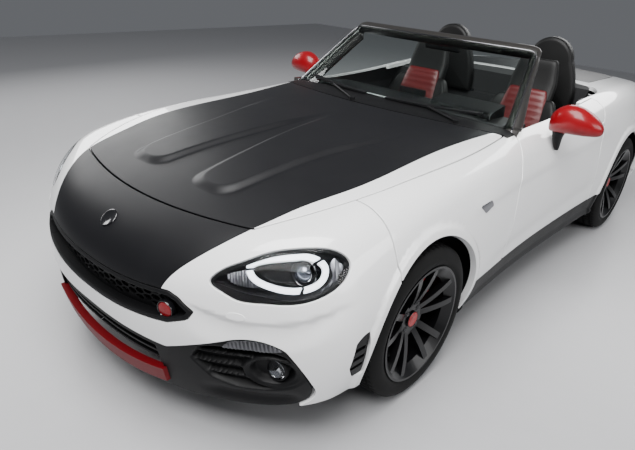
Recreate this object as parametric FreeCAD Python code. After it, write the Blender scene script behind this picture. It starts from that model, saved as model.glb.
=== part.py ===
# Two-seat open roadster: painted shell panels over a floor structure, cabin, chassis and four road wheels.
# Millimetres. +Z up, the nose points to -Y and the car's left is +X. The origin is on the ground, mid-length.
import FreeCAD
import Part
import math
import os

V = FreeCAD.Vector

# Overall sizes
LENGTH = 4054.0
WHEELBASE = 2310.0
FRONT_OVERHANG = 850.0
NOSE_Y = -LENGTH / 2
TAIL_Y = LENGTH / 2
FRONT_AXLE_Y = NOSE_Y + FRONT_OVERHANG
REAR_AXLE_Y = FRONT_AXLE_Y + WHEELBASE

# Wheels, tyres and brakes
TYRE_RADIUS = 308.0
TYRE_WIDTH = 205.0
BEAD_RADIUS = 218.0
FLANGE_RADIUS = 233.0
RIM_WIDTH = 196.0
RIM_WALL = 9.0
WHEEL_X = 748.0
AXLE_Z = TYRE_RADIUS
SPOKE_PAIRS = 5
SPOKE_ANGLE = 14.0
SPOKE_WIDTH = 26.0
SPOKE_DEPTH = 26.0
HUB_RADIUS = 72.0
HUB_FACE_X = 760.0
DISC_RADIUS = 142.0
DISC_THICK = 22.0
DISC_X = 716.0
CALIPER_PLAY = 2.0
CALIPER_CHEEK = 15.0
STUB_RADIUS = 30.0
SHAFT_RADIUS = 14.0
BORE_PLAY = 0.05

# Steered uprights
KINGPIN_X = 655.0
KINGPIN_RADIUS = 18.0
ARM_Z = (215.0, 440.0)
ARM_THICK = 24.0

# Shell
SKIN = 28.0
BELOW = 60.0
GAP = 5.0
SEAT = 0.3
LAY = 0.8
SHOULDER_RADIUS = 80.0
NOSE_FILLET = 45.0
BELLY_Z = 450.0
ARCH_RADIUS = 362.0
WELL_RADIUS = 385.0
FRONT_WELL_X = 455.0
REAR_WELL_X = 615.0

# Shell sections along the car. Columns: y, z_bottom, x_sill, x_belly, x_shoulder, z_shoulder, z_centre
SECTIONS = [
    (-2040, 160, 690, 800, 640, 655, 640),
    (-1800, 150, 740, 838, 690, 722, 735),
    (-1500, 150, 790, 862, 745, 785, 800),
    (-1177, 160, 800, 868, 755, 818, 838),
    (-700, 170, 790, 850, 740, 838, 880),
    (-320, 180, 780, 832, 735, 850, 915),
    (200, 180, 785, 830, 735, 862, 880),
    (700, 180, 800, 846, 745, 888, 890),
    (1133, 180, 810, 868, 750, 905, 915),
    (1600, 190, 780, 850, 720, 885, 905),
    (2040, 230, 700, 790, 660, 845, 870),
]
# How far nose and tail lean in at each height. Columns: z, nose_in, tail_in
END_LEANS = [
    (100, 60, 90),
    (300, 10, 30),
    (430, 0, 0),
    (600, 32, 5),
    (760, 120, 30),
    (980, 330, 160),
]
# Plan curve of nose and tail. Columns: x, set back from the tip
END_PLAN = [(400, 53), (640, 165), (1000, 460)]

# Panel outlines. A point is (a, b), or (a, b, via_a, via_b) for an arc that arrives there.
BUMPER_SPLIT_Y = -1395.0
REAR_SPLIT_Y = 1500.0
REAR_SPLIT_Z = 645.0
SKIRT_TOP = 330.0
SKIRT_Y = (-850.0, 790.0)
HOOD = [
    (-507, -1722),
    (507, -1722, 0, -1803),
    (672, -1188, 622, -1460),
    (672, -400, 690, -780),
    (-672, -400, 0, -592),
    (-672, -1188, -690, -780),
    (-507, -1722, -622, -1460),
]
COWL = [
    (-690, -392),
    (690, -392, 0, -586),
    (690, -290),
    (-690, -290, 0, -440),
    (-690, -392),
]
COCKPIT = [
    (-650, -420),
    (650, -420),
    (650, 760),
    (590, 1010, 645, 910),
    (-590, 1010, 0, 1105),
    (-650, 760, -645, 910),
    (-650, -420),
]
TRUNK = [
    (-520, 1120),
    (520, 1120, 0, 1165),
    (452, 1900, 512, 1540),
    (452, 2100),
    (-452, 2100),
    (-452, 1900),
    (-520, 1120, -512, 1540),
]
TRUNK_LIP_Z = 700.0
DOOR = [
    (-500, 333),
    (610, 333),
    (610, 560),
    (715, 830, 638, 700),
    (718, 1000),
    (-312, 1000),
    (-312, 849),
    (-496, 440, -440, 640),
    (-500, 333),
]
GRILLE = [
    (-460, 493),
    (-392, 463),
    (392, 463, 0, 438),
    (460, 493),
    (473, 521),
    (424, 555),
    (386, 566),
    (-386, 566, 0, 548),
    (-424, 555),
    (-473, 521),
    (-460, 493),
]
HEADLAMP = [
    (503, 627),
    (659, 592, 570, 592),
    (797, 647, 742, 604),
    (761, 720, 799, 694),
    (612, 718, 690, 736),
    (503, 627, 548, 684),
]
LAMP_BACK_Y = -1560.0
VALANCE = [
    (0, 372),
    (384, 364),
    (572, 446),
    (736, 446, 660, 466),
    (789, 313, 768, 388),
    (748, 215, 782, 250),
    (433, 172),
    (0, 166),
    (-433, 172),
    (-748, 215),
    (-789, 313, -782, 250),
    (-736, 446, -768, 388),
    (-572, 446, -660, 466),
    (-384, 364),
    (0, 372),
]
INTAKE = [
    (-330, 345),
    (-350, 262),
    (350, 262, 0, 232),
    (330, 345),
    (-330, 345),
]
# Duct slots of each corner. Columns: z, x_inner, x_outer
SLATS = [(380, 470, 620), (350, 450, 620), (320, 430, 620)]
SPLITTER = [
    (-360, 262),
    (-360, 205),
    (360, 205, 0, 166),
    (360, 262),
    (-360, 262, 0, 228),
]
TAIL_LAMP = [
    (485, 790),
    (485, 735),
    (735, 700, 620, 712),
    (752, 770),
    (485, 790, 620, 800),
]
DIFFUSER = [
    (-500, 330),
    (-540, 150),
    (540, 150),
    (500, 330),
    (-500, 330),
]

# Grille frame and mesh
FRAME_WIDTH = 14.0
HEX_WIDTH = 46.0
HEX_HEIGHT = 25.0
HEX_WEB = 7.0
HEX_SET_BACK = 34.0
HEX_DEPTH = 8.0

# Doors, cabin and structure
DOOR_INNER_X = 678.0
DOOR_FACE_X = 850.0
DOOR_RAKE = 0.13
FLOOR_Z = 165.0
FLOOR_THICK = 20.0
SILL_TOP = 300.0
TUNNEL_HALF = 110.0
TUNNEL_TOP = 330.0
SHEET = 20.0
SEAT_X = 362.0
SEAT_WIDTH = 470.0
HOOP_Y = 850.0
HOOP_BAR = 34.0
SHELF_TOP = 760.0
TRUNK_FLOOR_Z = 400.0

# Steering wheel
WHEEL_CENTRE = V(SEAT_X, 20, 720)
COLUMN_TILT = 24.0
HAND_RADIUS = 180.0
GRIP_RADIUS = 15.0
COLUMN_RADIUS = 18.0

# Windscreen. Columns: z, half_width, y_side, y_centre
SCREEN_ARCS = [
    (846, 672, -330, -545),
    (1205, 545, 120, 10),
]
SCREEN_DEPTH = 42.0
PILLAR = 48.0
HEADER = 44.0
SCREEN_CORNER = 45.0
GLASS = 5.0
GLASS_SET = 14.0

# Exhaust. Its silencer is x0, x1, y0, y1, z0, z1
TIP_X = (-400.0, -300.0, 300.0, 400.0)
TIP_Z = 258.0
TIP_RADIUS = 36.0
TIP_WALL = 3.0
TIP_IN = 12.0
MUFFLER = (-440.0, 440.0, 1650.0, 1830.0, 200.0, 330.0)
MUFFLER_ROUND = 50.0
PIPE_Z = 250.0
PIPE_RADIUS = 32.0
PIPE_BENDS = ((0, 925), (230, 1040))
HANGER_X = 200.0
HANGER_Y = (1735.0, 1745.0)

# Engine and radiator, as x0, x1, y0, y1, z0, z1
ENGINE = (-230.0, 230.0, -1330.0, -760.0, 230.0, 690.0)
RADIATOR = (-330.0, 330.0, -1745.0, -1715.0, 250.0, 560.0)

# Structure. Its tables of boxes have the columns x0, x1, y0, y1, z0, z1; a side table is mirrored too.
FIREWALL_Y = -640.0
BULKHEAD_Y = 880.0
WALL_X = 600.0
POST_FOOT = 790.0
FLOOR_BOXES = [
    (-WALL_X, WALL_X, FIREWALL_Y + SHEET + SEAT, BULKHEAD_Y - SHEET - SEAT, FLOOR_Z, FLOOR_Z + FLOOR_THICK),
    (-TUNNEL_HALF, TUNNEL_HALF, FIREWALL_Y + SHEET + SEAT, BULKHEAD_Y - SHEET - SEAT, FLOOR_Z, TUNNEL_TOP),
]
FLOOR_SIDES = [
    (WALL_X, 780, FIREWALL_Y, BULKHEAD_Y - SEAT, FLOOR_Z, SILL_TOP),
    (WALL_X, 860, FIREWALL_Y, -520, SILL_TOP, POST_FOOT - SEAT),
    (WALL_X, 860, 735, BULKHEAD_Y - SEAT, SILL_TOP, 860),
]
FIREWALL_BOXES = [
    (-WALL_X + SEAT, WALL_X - SEAT, FIREWALL_Y, FIREWALL_Y + SHEET, FLOOR_Z, 860),
    (-680, 680, FIREWALL_Y, -460, POST_FOOT, 900),
]
BAY_BOXES = [
    (-480, 480, RADIATOR[3] + SEAT, -1690, 250, 660),
]
BAY_SIDES = [
    (440, 455, -1690, FIREWALL_Y - SEAT, 280, 720),
    (380, 455, -1690, FIREWALL_Y - SEAT, 300, 380),
    (455, 860, -1470, FIREWALL_Y - SEAT, 700, 720),
]
BAY_WINDOW = (-300, 300, -1720, -1680, 300, 540)
REAR_BOXES = [
    (-WALL_X + SEAT, WALL_X - SEAT, BULKHEAD_Y - SHEET, BULKHEAD_Y, FLOOR_Z, SHELF_TOP),
    (-640, 640, BULKHEAD_Y, 1100, SHELF_TOP - SHEET, SHELF_TOP),
    (-WALL_X, WALL_X, BULKHEAD_Y, 1890, TRUNK_FLOOR_Z - SHEET, TRUNK_FLOOR_Z),
    (-440, 440, 1080, 1190, SHELF_TOP - SHEET, SHELF_TOP),
    (-440, 440, 1170, 1190, SHELF_TOP - SHEET, 940),
    (-700, 700, 1870, 1890, 340, 690),
]
REAR_SIDES = [
    (WALL_X, REAR_WELL_X, BULKHEAD_Y, 1600, TRUNK_FLOOR_Z - SHEET, 860),
    (WALL_X, 860, BULKHEAD_Y + SHEET, 1600, SHELF_TOP, SHELF_TOP + SHEET),
    (WALL_X, REAR_WELL_X, 1500, 1880, TRUNK_FLOOR_Z - SHEET, 690),
    (REAR_WELL_X, 860, 1500, 1520, TRUNK_FLOOR_Z - SHEET, 640),
]
HINGE_BOX = (740, 790, -530, -380)
HINGE_Z = (440, 620)
HINGE_HIGH = 40.0

# Wipers. Columns: pivot_x, blade_x0, blade_x1, blade_z
WIPER_TABLE = [(470, 60, 520, 908), (-60, -540, -70, 908)]
WIPER_FOOT_Y = 26.0
WIPER_FOOT_RADIUS = 13.0
WIPER_RISE = 12.0
ARM_RADIUS = 6.0
BLADE_THICK = 9.0
BLADE_FRONT = 16.0

# Cabin outlines, seen from the side
DASH = [
    (-455, 700),
    (-455, 880),
    (-150, 880),
    (-96, 852, -112, 874),
    (-96, 770),
    (-190, 600),
    (-380, 560),
    (-455, 700),
]
BINNACLE = [(-260, 860), (-230, 905, -250, 896), (-110, 925), (-100, 860), (-260, 860)]
SHROUD_RADIUS = 40.0
CONSOLE = [
    (-330, TUNNEL_TOP + SEAT),
    (-330, 560),
    (-230, 590),
    (-130, 520),
    (150, 470),
    (560, 500, 400, 480),
    (620, TUNNEL_TOP + SEAT),
    (-330, TUNNEL_TOP + SEAT),
]
LEVER_FOOT = V(0, 0, 460)
LEVER_TOP = V(0, -20, 590)
LEVER_RADIUS = 9.0
KNOB_RADIUS = 24.0
SEAT_SIDE = [
    (-110, 262),
    (-118, 350),
    (-60, 392, -108, 388),
    (330, 352),
    (392, 430, 372, 380),
    (560, 860),
    (588, 968, 566, 930),
    (668, 962, 632, 986),
    (700, 860, 690, 900),
    (545, 262, 600, 560),
    (-110, 262),
]
BOLSTER = 85.0
HEAD_HALF = 125.0
HOLLOW_SEAT = [(-200, 420), (-100, 372), (330, 330), (345, 420), (-200, 420)]
HOLLOW_BACK = [(360, 400), (410, 385), (600, 830), (500, 860), (360, 400)]

# Outer mirrors, on the doors
MIRROR_Y = -62.0
MIRROR_Z = 912.0
# Housing sections. Columns: x, radius_y, radius_z
MIRROR_SECTIONS = [(752, 26, 38), (800, 58, 64), (880, 66, 72), (945, 52, 62), (985, 18, 30)]
MIRROR_CUT = 32.0
MIRROR_STEM = [(-75, 880), (-95, 800), (-60, 740), (30, 740), (-10, 880), (-75, 880)]
MIRROR_STEM_X = (770.0, 815.0)
MIRROR_INSET = 9.0

# Door handle, seen from the side, and how far it stands out
HANDLE = [(492, 762), (652, 768, 572, 760), (650, 786), (494, 784, 572, 782), (492, 762)]
HANDLE_OUT = 24.0
HANDLE_GRIP = (520.0, 625.0)
HANDLE_GRIP_OUT = 13.0

# Small parts of the nose
GILL = [(-1543, 462), (-1598, 440, -1574, 456), (-1608, 345), (-1584, 299), (-1544, 299), (-1543, 462)]
GILL_X = 780.0
TOW_CAP = (376.0, 507.0)
TOW_CAP_RADIUS = 27.0
TOW_CAP_THICK = 18.0
FOG_LAMP = (700.0, 350.0)
FOG_RADIUS = 46.0
FOG_SET_BACK = 24.0

# Chassis
CALIPER_TURN = 22.0
DIFF_HALF = 120.0

PARTS = "parts"


def wire(points, place):
    """A closed wire through the points, whose last one repeats the first."""
    edges = []
    for p, q in zip(points[:-1], points[1:]):
        start, end = place(p[0], p[1]), place(q[0], q[1])
        if len(q) == 4:
            edges.append(Part.Arc(start, place(q[2], q[3]), end).toShape())
        else:
            edges.append(Part.LineSegment(start, end).toShape())
    return Part.Wire(edges)


def prism(points, axis, low, high, grow=0.0):
    """An outline grown sideways and extruded along an axis. X takes (y, z), Y takes (x, z), Z takes (x, y)."""
    place, way = {
        "x": (lambda a, b: V(low, a, b), V(1, 0, 0)),
        "y": (lambda a, b: V(a, low, b), V(0, 1, 0)),
        "z": (lambda a, b: V(a, b, low), V(0, 0, 1)),
    }[axis]
    face = Part.Face(wire(points, place))
    if grow:
        face = Part.Face(face.makeOffset2D(grow).Wires[0])
    return face.extrude(way * (high - low))


def box(x0, x1, y0, y1, z0, z1):
    return Part.makeBox(x1 - x0, y1 - y0, z1 - z0, V(x0, y0, z0))


def rod(start, end, radius):
    return Part.makeCylinder(radius, (end - start).Length, start, end - start)


def other_side(shape):
    return shape.mirror(V(0, 0, 0), V(1, 0, 0))


def fuse_all(shapes):
    shapes = list(shapes)
    return shapes[0].multiFuse(shapes[1:]).removeSplitter() if len(shapes) > 1 else shapes[0]


def biggest(shape):
    """The largest solid of a trimmed layer, without its crumbs."""
    return max(shape.Solids, key=lambda s: s.Volume)


def axle_y(front):
    return FRONT_AXLE_Y if front else REAR_AXLE_Y


# Outer form

def section_wire(row, inset, drop):
    y, z_bottom, x_sill, x_belly, x_shoulder, z_shoulder, z_centre = row
    x_sill, x_belly, x_shoulder = x_sill - inset, x_belly - inset, x_shoulder - inset
    z_shoulder, z_centre = z_shoulder - inset, z_centre - inset
    rise = (z_shoulder - SHOULDER_RADIUS - BELLY_Z) / (z_shoulder - BELLY_Z)
    side = (x_belly - (x_belly - x_shoulder) * rise ** 2.2, z_shoulder - SHOULDER_RADIUS)
    x_crown = x_shoulder - 1.1 * SHOULDER_RADIUS
    crown = (x_crown, z_centre + (z_shoulder - z_centre) * (x_crown / x_shoulder) ** 2)
    corner = (x_shoulder, z_shoulder)
    mid = [c + 0.25 * (a + b - 2 * c) for a, b, c in zip(side, crown, corner)]
    points = [
        (-x_sill, z_bottom),
        (x_sill, z_bottom),
        (side[0], side[1], x_belly, BELLY_Z),
        (crown[0], crown[1], mid[0], mid[1]),
        (-crown[0], crown[1], 0, z_centre),
        (-side[0], side[1], -mid[0], mid[1]),
        (-x_sill, z_bottom, -x_belly, BELLY_Z),
    ]
    if drop:
        points = [(-x_sill, z_bottom), (-x_sill, z_bottom - drop), (x_sill, z_bottom - drop)] + points[1:]
    return wire(points, lambda a, b: V(a, y, b))


def ends_wire(row, inset):
    z, nose_in, tail_in = row
    nose, tail = NOSE_Y + nose_in + inset, TAIL_Y - tail_in - inset
    (x1, d1), (x2, d2), (x3, d3) = END_PLAN
    points = [
        (-x3, nose + d3),
        (-x1, nose + d1, -x2, nose + d2),
        (x1, nose + d1, 0, nose),
        (x3, nose + d3, x2, nose + d2),
        (x3, tail - d3),
        (x1, tail - d1, x2, tail - d2),
        (-x1, tail - d1, 0, tail),
        (-x3, tail - d3, -x2, tail - d2),
        (-x3, nose + d3),
    ]
    return wire(points, lambda a, b: V(a, b, z))


HULLS = {}


def hull(inset, drop=0.0):
    """The whole outer form moved inwards by inset, its underside lowered by drop."""
    if (inset, drop) not in HULLS:
        HULLS[inset, drop] = make_hull(inset, drop)
    return HULLS[inset, drop]


def make_hull(inset, drop):
    along = Part.makeLoft([section_wire(row, inset, drop) for row in SECTIONS], True, False)
    ends = Part.makeLoft([ends_wire(row, inset) for row in END_LEANS], True, False)
    return along.common(ends)


def is_nose_top(edge):
    b = edge.BoundBox
    return b.YMax < -1500 and 400 < b.ZMin and b.ZMax < 760 and b.XLength > 200


def layer(region, outer_inset, inner_inset):
    """The part of a region that lies between two depths below the outer form."""
    outer = hull(outer_inset, BELOW if outer_inset > SKIN else 0)
    return biggest(region.common(outer).cut(hull(inner_inset, BELOW)))


def cut_in(region, depth):
    """The part of a region that reaches only to a depth below the outer form."""
    return region.cut(hull(depth, BELOW))


OUTER = hull(0)
OUTER = OUTER.makeFillet(NOSE_FILLET, [e for e in OUTER.Edges if is_nose_top(e)])
ENVELOPE = hull(SKIN + LAY, BELOW)
ARCHES = [
    Part.makeCylinder(ARCH_RADIUS, 2000, V(-1000, axle_y(front), AXLE_Z), V(1, 0, 0))
    for front in (True, False)
]
SHELL = OUTER.cut(hull(SKIN, BELOW)).cut(Part.makeCompound(ARCHES))

HOOD_ZONE = prism(HOOD, "z", 560, 1100)
HOOD_HOLE = prism(HOOD, "z", 560, 1100, GAP)
COWL_HOLE = prism(COWL, "z", 700, 1100, SEAT)
COCKPIT_HOLE = prism(COCKPIT, "z", 600, 1100)
TRUNK_HOLE = prism(TRUNK, "z", TRUNK_LIP_Z - GAP, 1100, GAP)


def door_zone(grow):
    return prism(DOOR, "x", DOOR_INNER_X - grow, 1000, grow)


DOOR_HOLE = door_zone(GAP)
DOOR_HOLES = DOOR_HOLE.fuse(other_side(DOOR_HOLE))


# Shell panels

def front_bumper():
    body = SHELL.common(box(-1000, 1000, -2100, BUMPER_SPLIT_Y - GAP / 2, 0, 1000))
    body = body.cut(HOOD_HOLE)
    body = body.cut(prism(GRILLE, "y", -2100, -1600, 2))
    body = body.cut(prism(VALANCE, "y", -2100, -1500, 2))
    body = body.cut(box(-470, 470, -2100, -1700, 0, 174))
    lamp = prism(HEADLAMP, "y", -2100, LAMP_BACK_Y, 2)
    gill = prism(GILL, "x", GILL_X, 1000, 1)
    return biggest(body.cut(lamp).cut(other_side(lamp)).cut(gill).cut(other_side(gill)))


def hood():
    return biggest(SHELL.common(HOOD_ZONE))


def fender():
    body = SHELL.common(box(0, 1000, BUMPER_SPLIT_Y + GAP / 2, -250, SKIRT_TOP, 1100))
    return biggest(body.cut(HOOD_HOLE).cut(COWL_HOLE).cut(DOOR_HOLE).cut(COCKPIT_HOLE))


def cowl_panel():
    return biggest(SHELL.common(prism(COWL, "z", 700, 1100)).cut(HOOD_HOLE).cut(DOOR_HOLES))


def door_wire(x):
    """The door's outline at a width. Its shut face behind slants, to clear the post as the door swings."""
    shift = DOOR_RAKE * (x - DOOR_FACE_X)
    points = []
    for p in DOOR:
        point = list(p)
        for i in range(0, len(p), 2):
            point[i] += shift if p[i] > 500 else 0
        points.append(point)
    return wire(points, lambda a, b: V(x, a, b))


def door():
    body = OUTER.common(Part.makeLoft([door_wire(DOOR_INNER_X), door_wire(1000)], True, True))
    # The trim panel leans in towards its top and has a pocket.
    x = DOOR_INNER_X - 10
    lean = [(x, 320), (x + 50, 320), (x + 50, 420), (x + 10, 760), (x, 760), (x, 320)]
    pocket = box(x, x + 80, -300, 250, 400, 520)
    body = biggest(body.cut(prism(lean, "y", -600, 800)).cut(pocket))
    return fuse_all([body, door_handle()])


def door_handle():
    """A bar on two feet, with room for fingers behind it."""
    bar = prism(HANDLE, "x", 700, 900).common(hull(-HANDLE_OUT)).cut(hull(SEAT))
    grip = box(700, 900, HANDLE_GRIP[0], HANDLE_GRIP[1], 700, 850).common(hull(-HANDLE_GRIP_OUT))
    return biggest(bar.cut(grip))


def rear_body():
    body = SHELL.common(box(-1000, 1000, 560, 2100, SKIRT_TOP, 1100))
    body = body.cut(DOOR_HOLES).cut(COCKPIT_HOLE).cut(TRUNK_HOLE)
    body = body.cut(box(-1000, 1000, REAR_SPLIT_Y - GAP / 2, 2100, 0, REAR_SPLIT_Z + GAP / 2))
    lamp = prism(TAIL_LAMP, "y", 1700, 2100, 2)
    return biggest(body.cut(lamp).cut(other_side(lamp)))


def trunk_lid():
    body = SHELL.common(prism(TRUNK, "z", TRUNK_LIP_Z, 1100))
    return biggest(body)


def rear_bumper():
    body = SHELL.common(box(-1000, 1000, REAR_SPLIT_Y + GAP / 2, 2100, 0, REAR_SPLIT_Z - GAP / 2))
    return biggest(body.cut(prism(DIFFUSER, "y", 1500, 2100, SEAT)))


def skirts():
    body = SHELL.common(box(0, 1000, SKIRT_Y[0], SKIRT_Y[1], 0, SKIRT_TOP - SEAT))
    body = biggest(body)
    return Part.makeCompound([body, other_side(body)])


def grille():
    opening = prism(GRILLE, "y", -2100, -1700)
    inside = prism(GRILLE, "y", -2100, -1700, -FRAME_WIDTH)
    ring = layer(opening.cut(inside), 4, SKIN + 10)
    flange = layer(prism(GRILLE, "y", -2100, -1700, 8).cut(inside), SKIN + SEAT, SKIN + 10)
    return biggest(fuse_all([ring, flange, hex_mesh()]))


def hex_mesh():
    """A curved plate across the grille opening with wide hexagon holes."""
    edge = Part.Face(wire(GRILLE, lambda a, b: V(a, NOSE_Y, b)))
    face = Part.Face(edge.makeOffset2D(-FRAME_WIDTH / 2).Wires[0])
    clear = Part.Face(edge.makeOffset2D(-FRAME_WIDTH - 2).Wires[0])
    bounds = face.BoundBox
    columns, rows = int(bounds.XMax / (0.75 * HEX_WIDTH)), int(bounds.ZLength / HEX_HEIGHT) + 1
    half, high = (HEX_WIDTH - HEX_WEB) / 2, (HEX_HEIGHT - HEX_WEB) / 2
    holes = []
    for column in range(-columns, columns + 1):
        for row in range(rows + 1):
            x, z = column * 0.75 * HEX_WIDTH, bounds.ZMin + (row + 0.5 * (column % 2)) * HEX_HEIGHT
            points = [
                (x - half, z),
                (x - half / 2, z - high),
                (x + half / 2, z - high),
                (x + half, z),
                (x + half / 2, z + high),
                (x - half / 2, z + high),
                (x - half, z),
            ]
            if all(clear.isInside(V(a, NOSE_Y, b), 0.01, True) for a, b in points):
                holes.append(Part.Face(wire(points, lambda a, b: V(a, NOSE_Y, b))))
    plate = face.cut(Part.makeCompound(holes)).Faces[0].extrude(V(0, 200, 0))
    return plate.common(nose_slab(HEX_SET_BACK, HEX_SET_BACK + HEX_DEPTH))


def nose_slab(front, back):
    """An upright plate that follows the nose's plan curve between two set-backs from it."""
    x, d = END_PLAN[1]
    a, b = NOSE_Y + front, NOSE_Y + back
    outline = [(-x, a + d), (x, a + d, 0, a), (x, b + d), (-x, b + d, 0, b), (-x, a + d)]
    return prism(outline, "z", 400, 600)


def valance():
    body = layer(prism(VALANCE, "y", -2100, -1500), 5, SKIN + 10)
    flange = layer(prism(VALANCE, "y", -2100, -1500, 8), SKIN + SEAT, SKIN + 10)
    body = fuse_all([body, flange]).cut(prism(INTAKE, "y", -2100, -1700))
    bars = [layer(box(-350, 350, -2100, -1700, z, z + 8), 12, SKIN) for z in (272, 300, 328)]
    body = fuse_all([body] + bars)
    grooves = [cut_in(prism(SPLITTER, "y", -2100, -1700, SEAT), 20)]
    for side in (1, -1):
        for z, x0, x1 in SLATS:
            x0, x1 = sorted((side * x0, side * x1))
            grooves.append(cut_in(box(x0, x1, -2100, -1500, z, z + 18), 22))
        well = Part.makeCylinder(FOG_RADIUS, 400, V(side * FOG_LAMP[0], -1990, FOG_LAMP[1]), V(0, 1, 0))
        grooves.append(cut_in(well, FOG_SET_BACK))
    return biggest(body.cut(Part.makeCompound(grooves)))


def splitter():
    return layer(prism(SPLITTER, "y", -2100, -1700), -12, 19)


def lamp_pair(outline, y0, y1, depth):
    lens = layer(prism(outline, "y", y0, y1), 1.5, SKIN + 1)
    back = layer(prism(outline, "y", y0, y1, 8), SKIN + SEAT, SKIN + depth)
    body = biggest(fuse_all([lens, back]))
    return Part.makeCompound([body, other_side(body)])


def diffuser():
    body = layer(prism(DIFFUSER, "y", 1700, 2100), 0, SKIN)
    fins = [box(x - 5, x + 5, MUFFLER[3] + 15, TAIL_Y - 40, 175, 250) for x in (-150, -50, 50, 150)]
    body = fuse_all([body] + fins)
    tips = [rod(V(x, 1700, TIP_Z), V(x, 2100, TIP_Z), TIP_RADIUS + 6) for x in TIP_X]
    return biggest(body.cut(Part.makeCompound(tips)))


def exhaust():
    x0, x1, y0, y1, z0, z1 = MUFFLER
    muffler = box(x0, x1, y0, y1, z0, z1)
    muffler = muffler.makeFillet(MUFFLER_ROUND, [e for e in muffler.Edges if e.BoundBox.XLength > 500])
    tips = [rod(V(x, y1 - 20, TIP_Z), V(x, TAIL_Y - TIP_IN, TIP_Z), TIP_RADIUS) for x in TIP_X]
    bores = [rod(V(x, y1 + 30, TIP_Z), V(x, TAIL_Y, TIP_Z), TIP_RADIUS - TIP_WALL) for x in TIP_X]
    bend, side = [V(x, y, PIPE_Z) for x, y in PIPE_BENDS]
    pipe = [
        rod(V(0, ENGINE[3] + SEAT, PIPE_Z), bend, PIPE_RADIUS),
        rod(bend, side, PIPE_RADIUS),
        Part.makeSphere(PIPE_RADIUS, bend),
        Part.makeSphere(PIPE_RADIUS, side),
        rod(side, V(side.x, y0 + 20, PIPE_Z), PIPE_RADIUS),
    ]
    low, high = z1 - 20, TRUNK_FLOOR_Z - SHEET - SEAT
    hangers = [box(x - 10, x + 10, HANGER_Y[0], HANGER_Y[1], low, high) for x in (-HANGER_X, HANGER_X)]
    return fuse_all([muffler] + tips + pipe + hangers).cut(Part.makeCompound(bores))


# Structure



def framework(middle, sides):
    """Boxes and mirrored boxes as one solid inside the shell."""
    pieces = [box(*row) for row in middle]
    for row in sides:
        pieces += [box(*row), other_side(box(*row))]
    return fuse_all(pieces).common(ENVELOPE)


def wells(front, radius, x):
    """The wheels' room on both sides."""
    well = Part.makeCylinder(radius, 1000 - x, V(x, axle_y(front), AXLE_Z), V(1, 0, 0))
    return Part.makeCompound([well, other_side(well)])


def floor_pan():
    """Floor, tunnel, sills, door posts and the door hinges' brackets."""
    pan = framework(FLOOR_BOXES, FLOOR_SIDES)
    half = TUNNEL_HALF - SHEET
    pan = pan.cut(box(-half, half, FIREWALL_Y, BULKHEAD_Y, 0, TUNNEL_TOP - SHEET))
    pan = pan.cut(DOOR_HOLES).cut(wells(True, WELL_RADIUS, FRONT_WELL_X)).cut(wells(False, ARCH_RADIUS, REAR_WELL_X))
    x0, x1, y0, y1 = HINGE_BOX
    blocks = [box(x0, x1, y0, y1, z, z + HINGE_HIGH) for z in HINGE_Z]
    hinges = Part.makeCompound(blocks).common(ENVELOPE).cut(door_zone(SEAT))
    return fuse_all([pan, hinges, other_side(hinges)])


def firewall():
    half = TUNNEL_HALF - SHEET
    wall = framework(FIREWALL_BOXES, []).cut(DOOR_HOLES)
    return wall.cut(box(-half, half, -1000, 0, 0, TUNNEL_TOP - SHEET))


def engine_bay():
    """Front rails, wheel housings' shelves and the radiator's frame."""
    bay = framework(BAY_BOXES, BAY_SIDES)
    return bay.cut(box(*BAY_WINDOW)).cut(wells(True, WELL_RADIUS, FRONT_WELL_X))


def rear_tub():
    """Bulkhead, shelf, boot floor and rear panel."""
    half = TUNNEL_HALF - SHEET
    tub = framework(REAR_BOXES, REAR_SIDES)
    return tub.cut(box(-half, half, 800, 920, 0, TUNNEL_TOP - SHEET)).cut(wells(False, ARCH_RADIUS, REAR_WELL_X))


def radiator():
    return box(*RADIATOR)


def engine():
    return box(*ENGINE)


# Windscreen

def screen_slab(front, back, spread=0.0):
    """The screen's ruled form between two set-backs from its front face."""
    wires = []
    for z, half, y_side, y_centre in SCREEN_ARCS:
        half += spread
        points = [
            (-half, y_side + front),
            (half, y_side + front, 0, y_centre + front),
            (half, y_side + back),
            (-half, y_side + back, 0, y_centre + back),
            (-half, y_side + front),
        ]
        wires.append(wire(points, lambda a, b: V(a, b, z)))
    return Part.makeLoft(wires, True, True)


def screen_opening(grow=0.0):
    """The hole of the frame: straight sides, rounded at the header, its foot below the cowl."""
    (z0, h0, _, _), (z1, h1, _, _) = SCREEN_ARCS
    slope = (h1 - h0) / (z1 - z0)
    low, high, r = z0 - 60, z1 - HEADER, SCREEN_CORNER
    x_low, x_high = h0 + slope * (low - z0) - PILLAR, h0 + slope * (high - z0) - PILLAR
    turn = (x_high - slope * r, high - r)
    mid = (x_high - 0.28 * r, high - 0.26 * r)
    points = [
        (-x_low, low),
        (x_low, low),
        turn,
        (x_high - r, high, mid[0], mid[1]),
        (-x_high + r, high),
        (-turn[0], turn[1], -mid[0], mid[1]),
        (-x_low, low),
    ]
    return prism(points, "y", -700, 300, grow)


def windshield_frame():
    return biggest(screen_slab(0, SCREEN_DEPTH).cut(screen_opening()).cut(hull(-SEAT)))


def windshield_glass():
    glass = screen_slab(GLASS_SET, GLASS_SET + GLASS)
    return biggest(glass.common(screen_opening(-SEAT)).cut(hull(-SEAT)))


def screen_y(x, z):
    """The screen's front face at a width and height."""
    faces = []
    for _, half, side, centre in SCREEN_ARCS:
        bow = side - centre
        radius = (half ** 2 + bow ** 2) / (2 * bow)
        faces.append(centre + radius - math.sqrt(radius ** 2 - x ** 2))
    (z0, _, _, _), (z1, _, _, _) = SCREEN_ARCS
    return faces[0] + (faces[1] - faces[0]) * (z - z0) / (z1 - z0)


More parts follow.
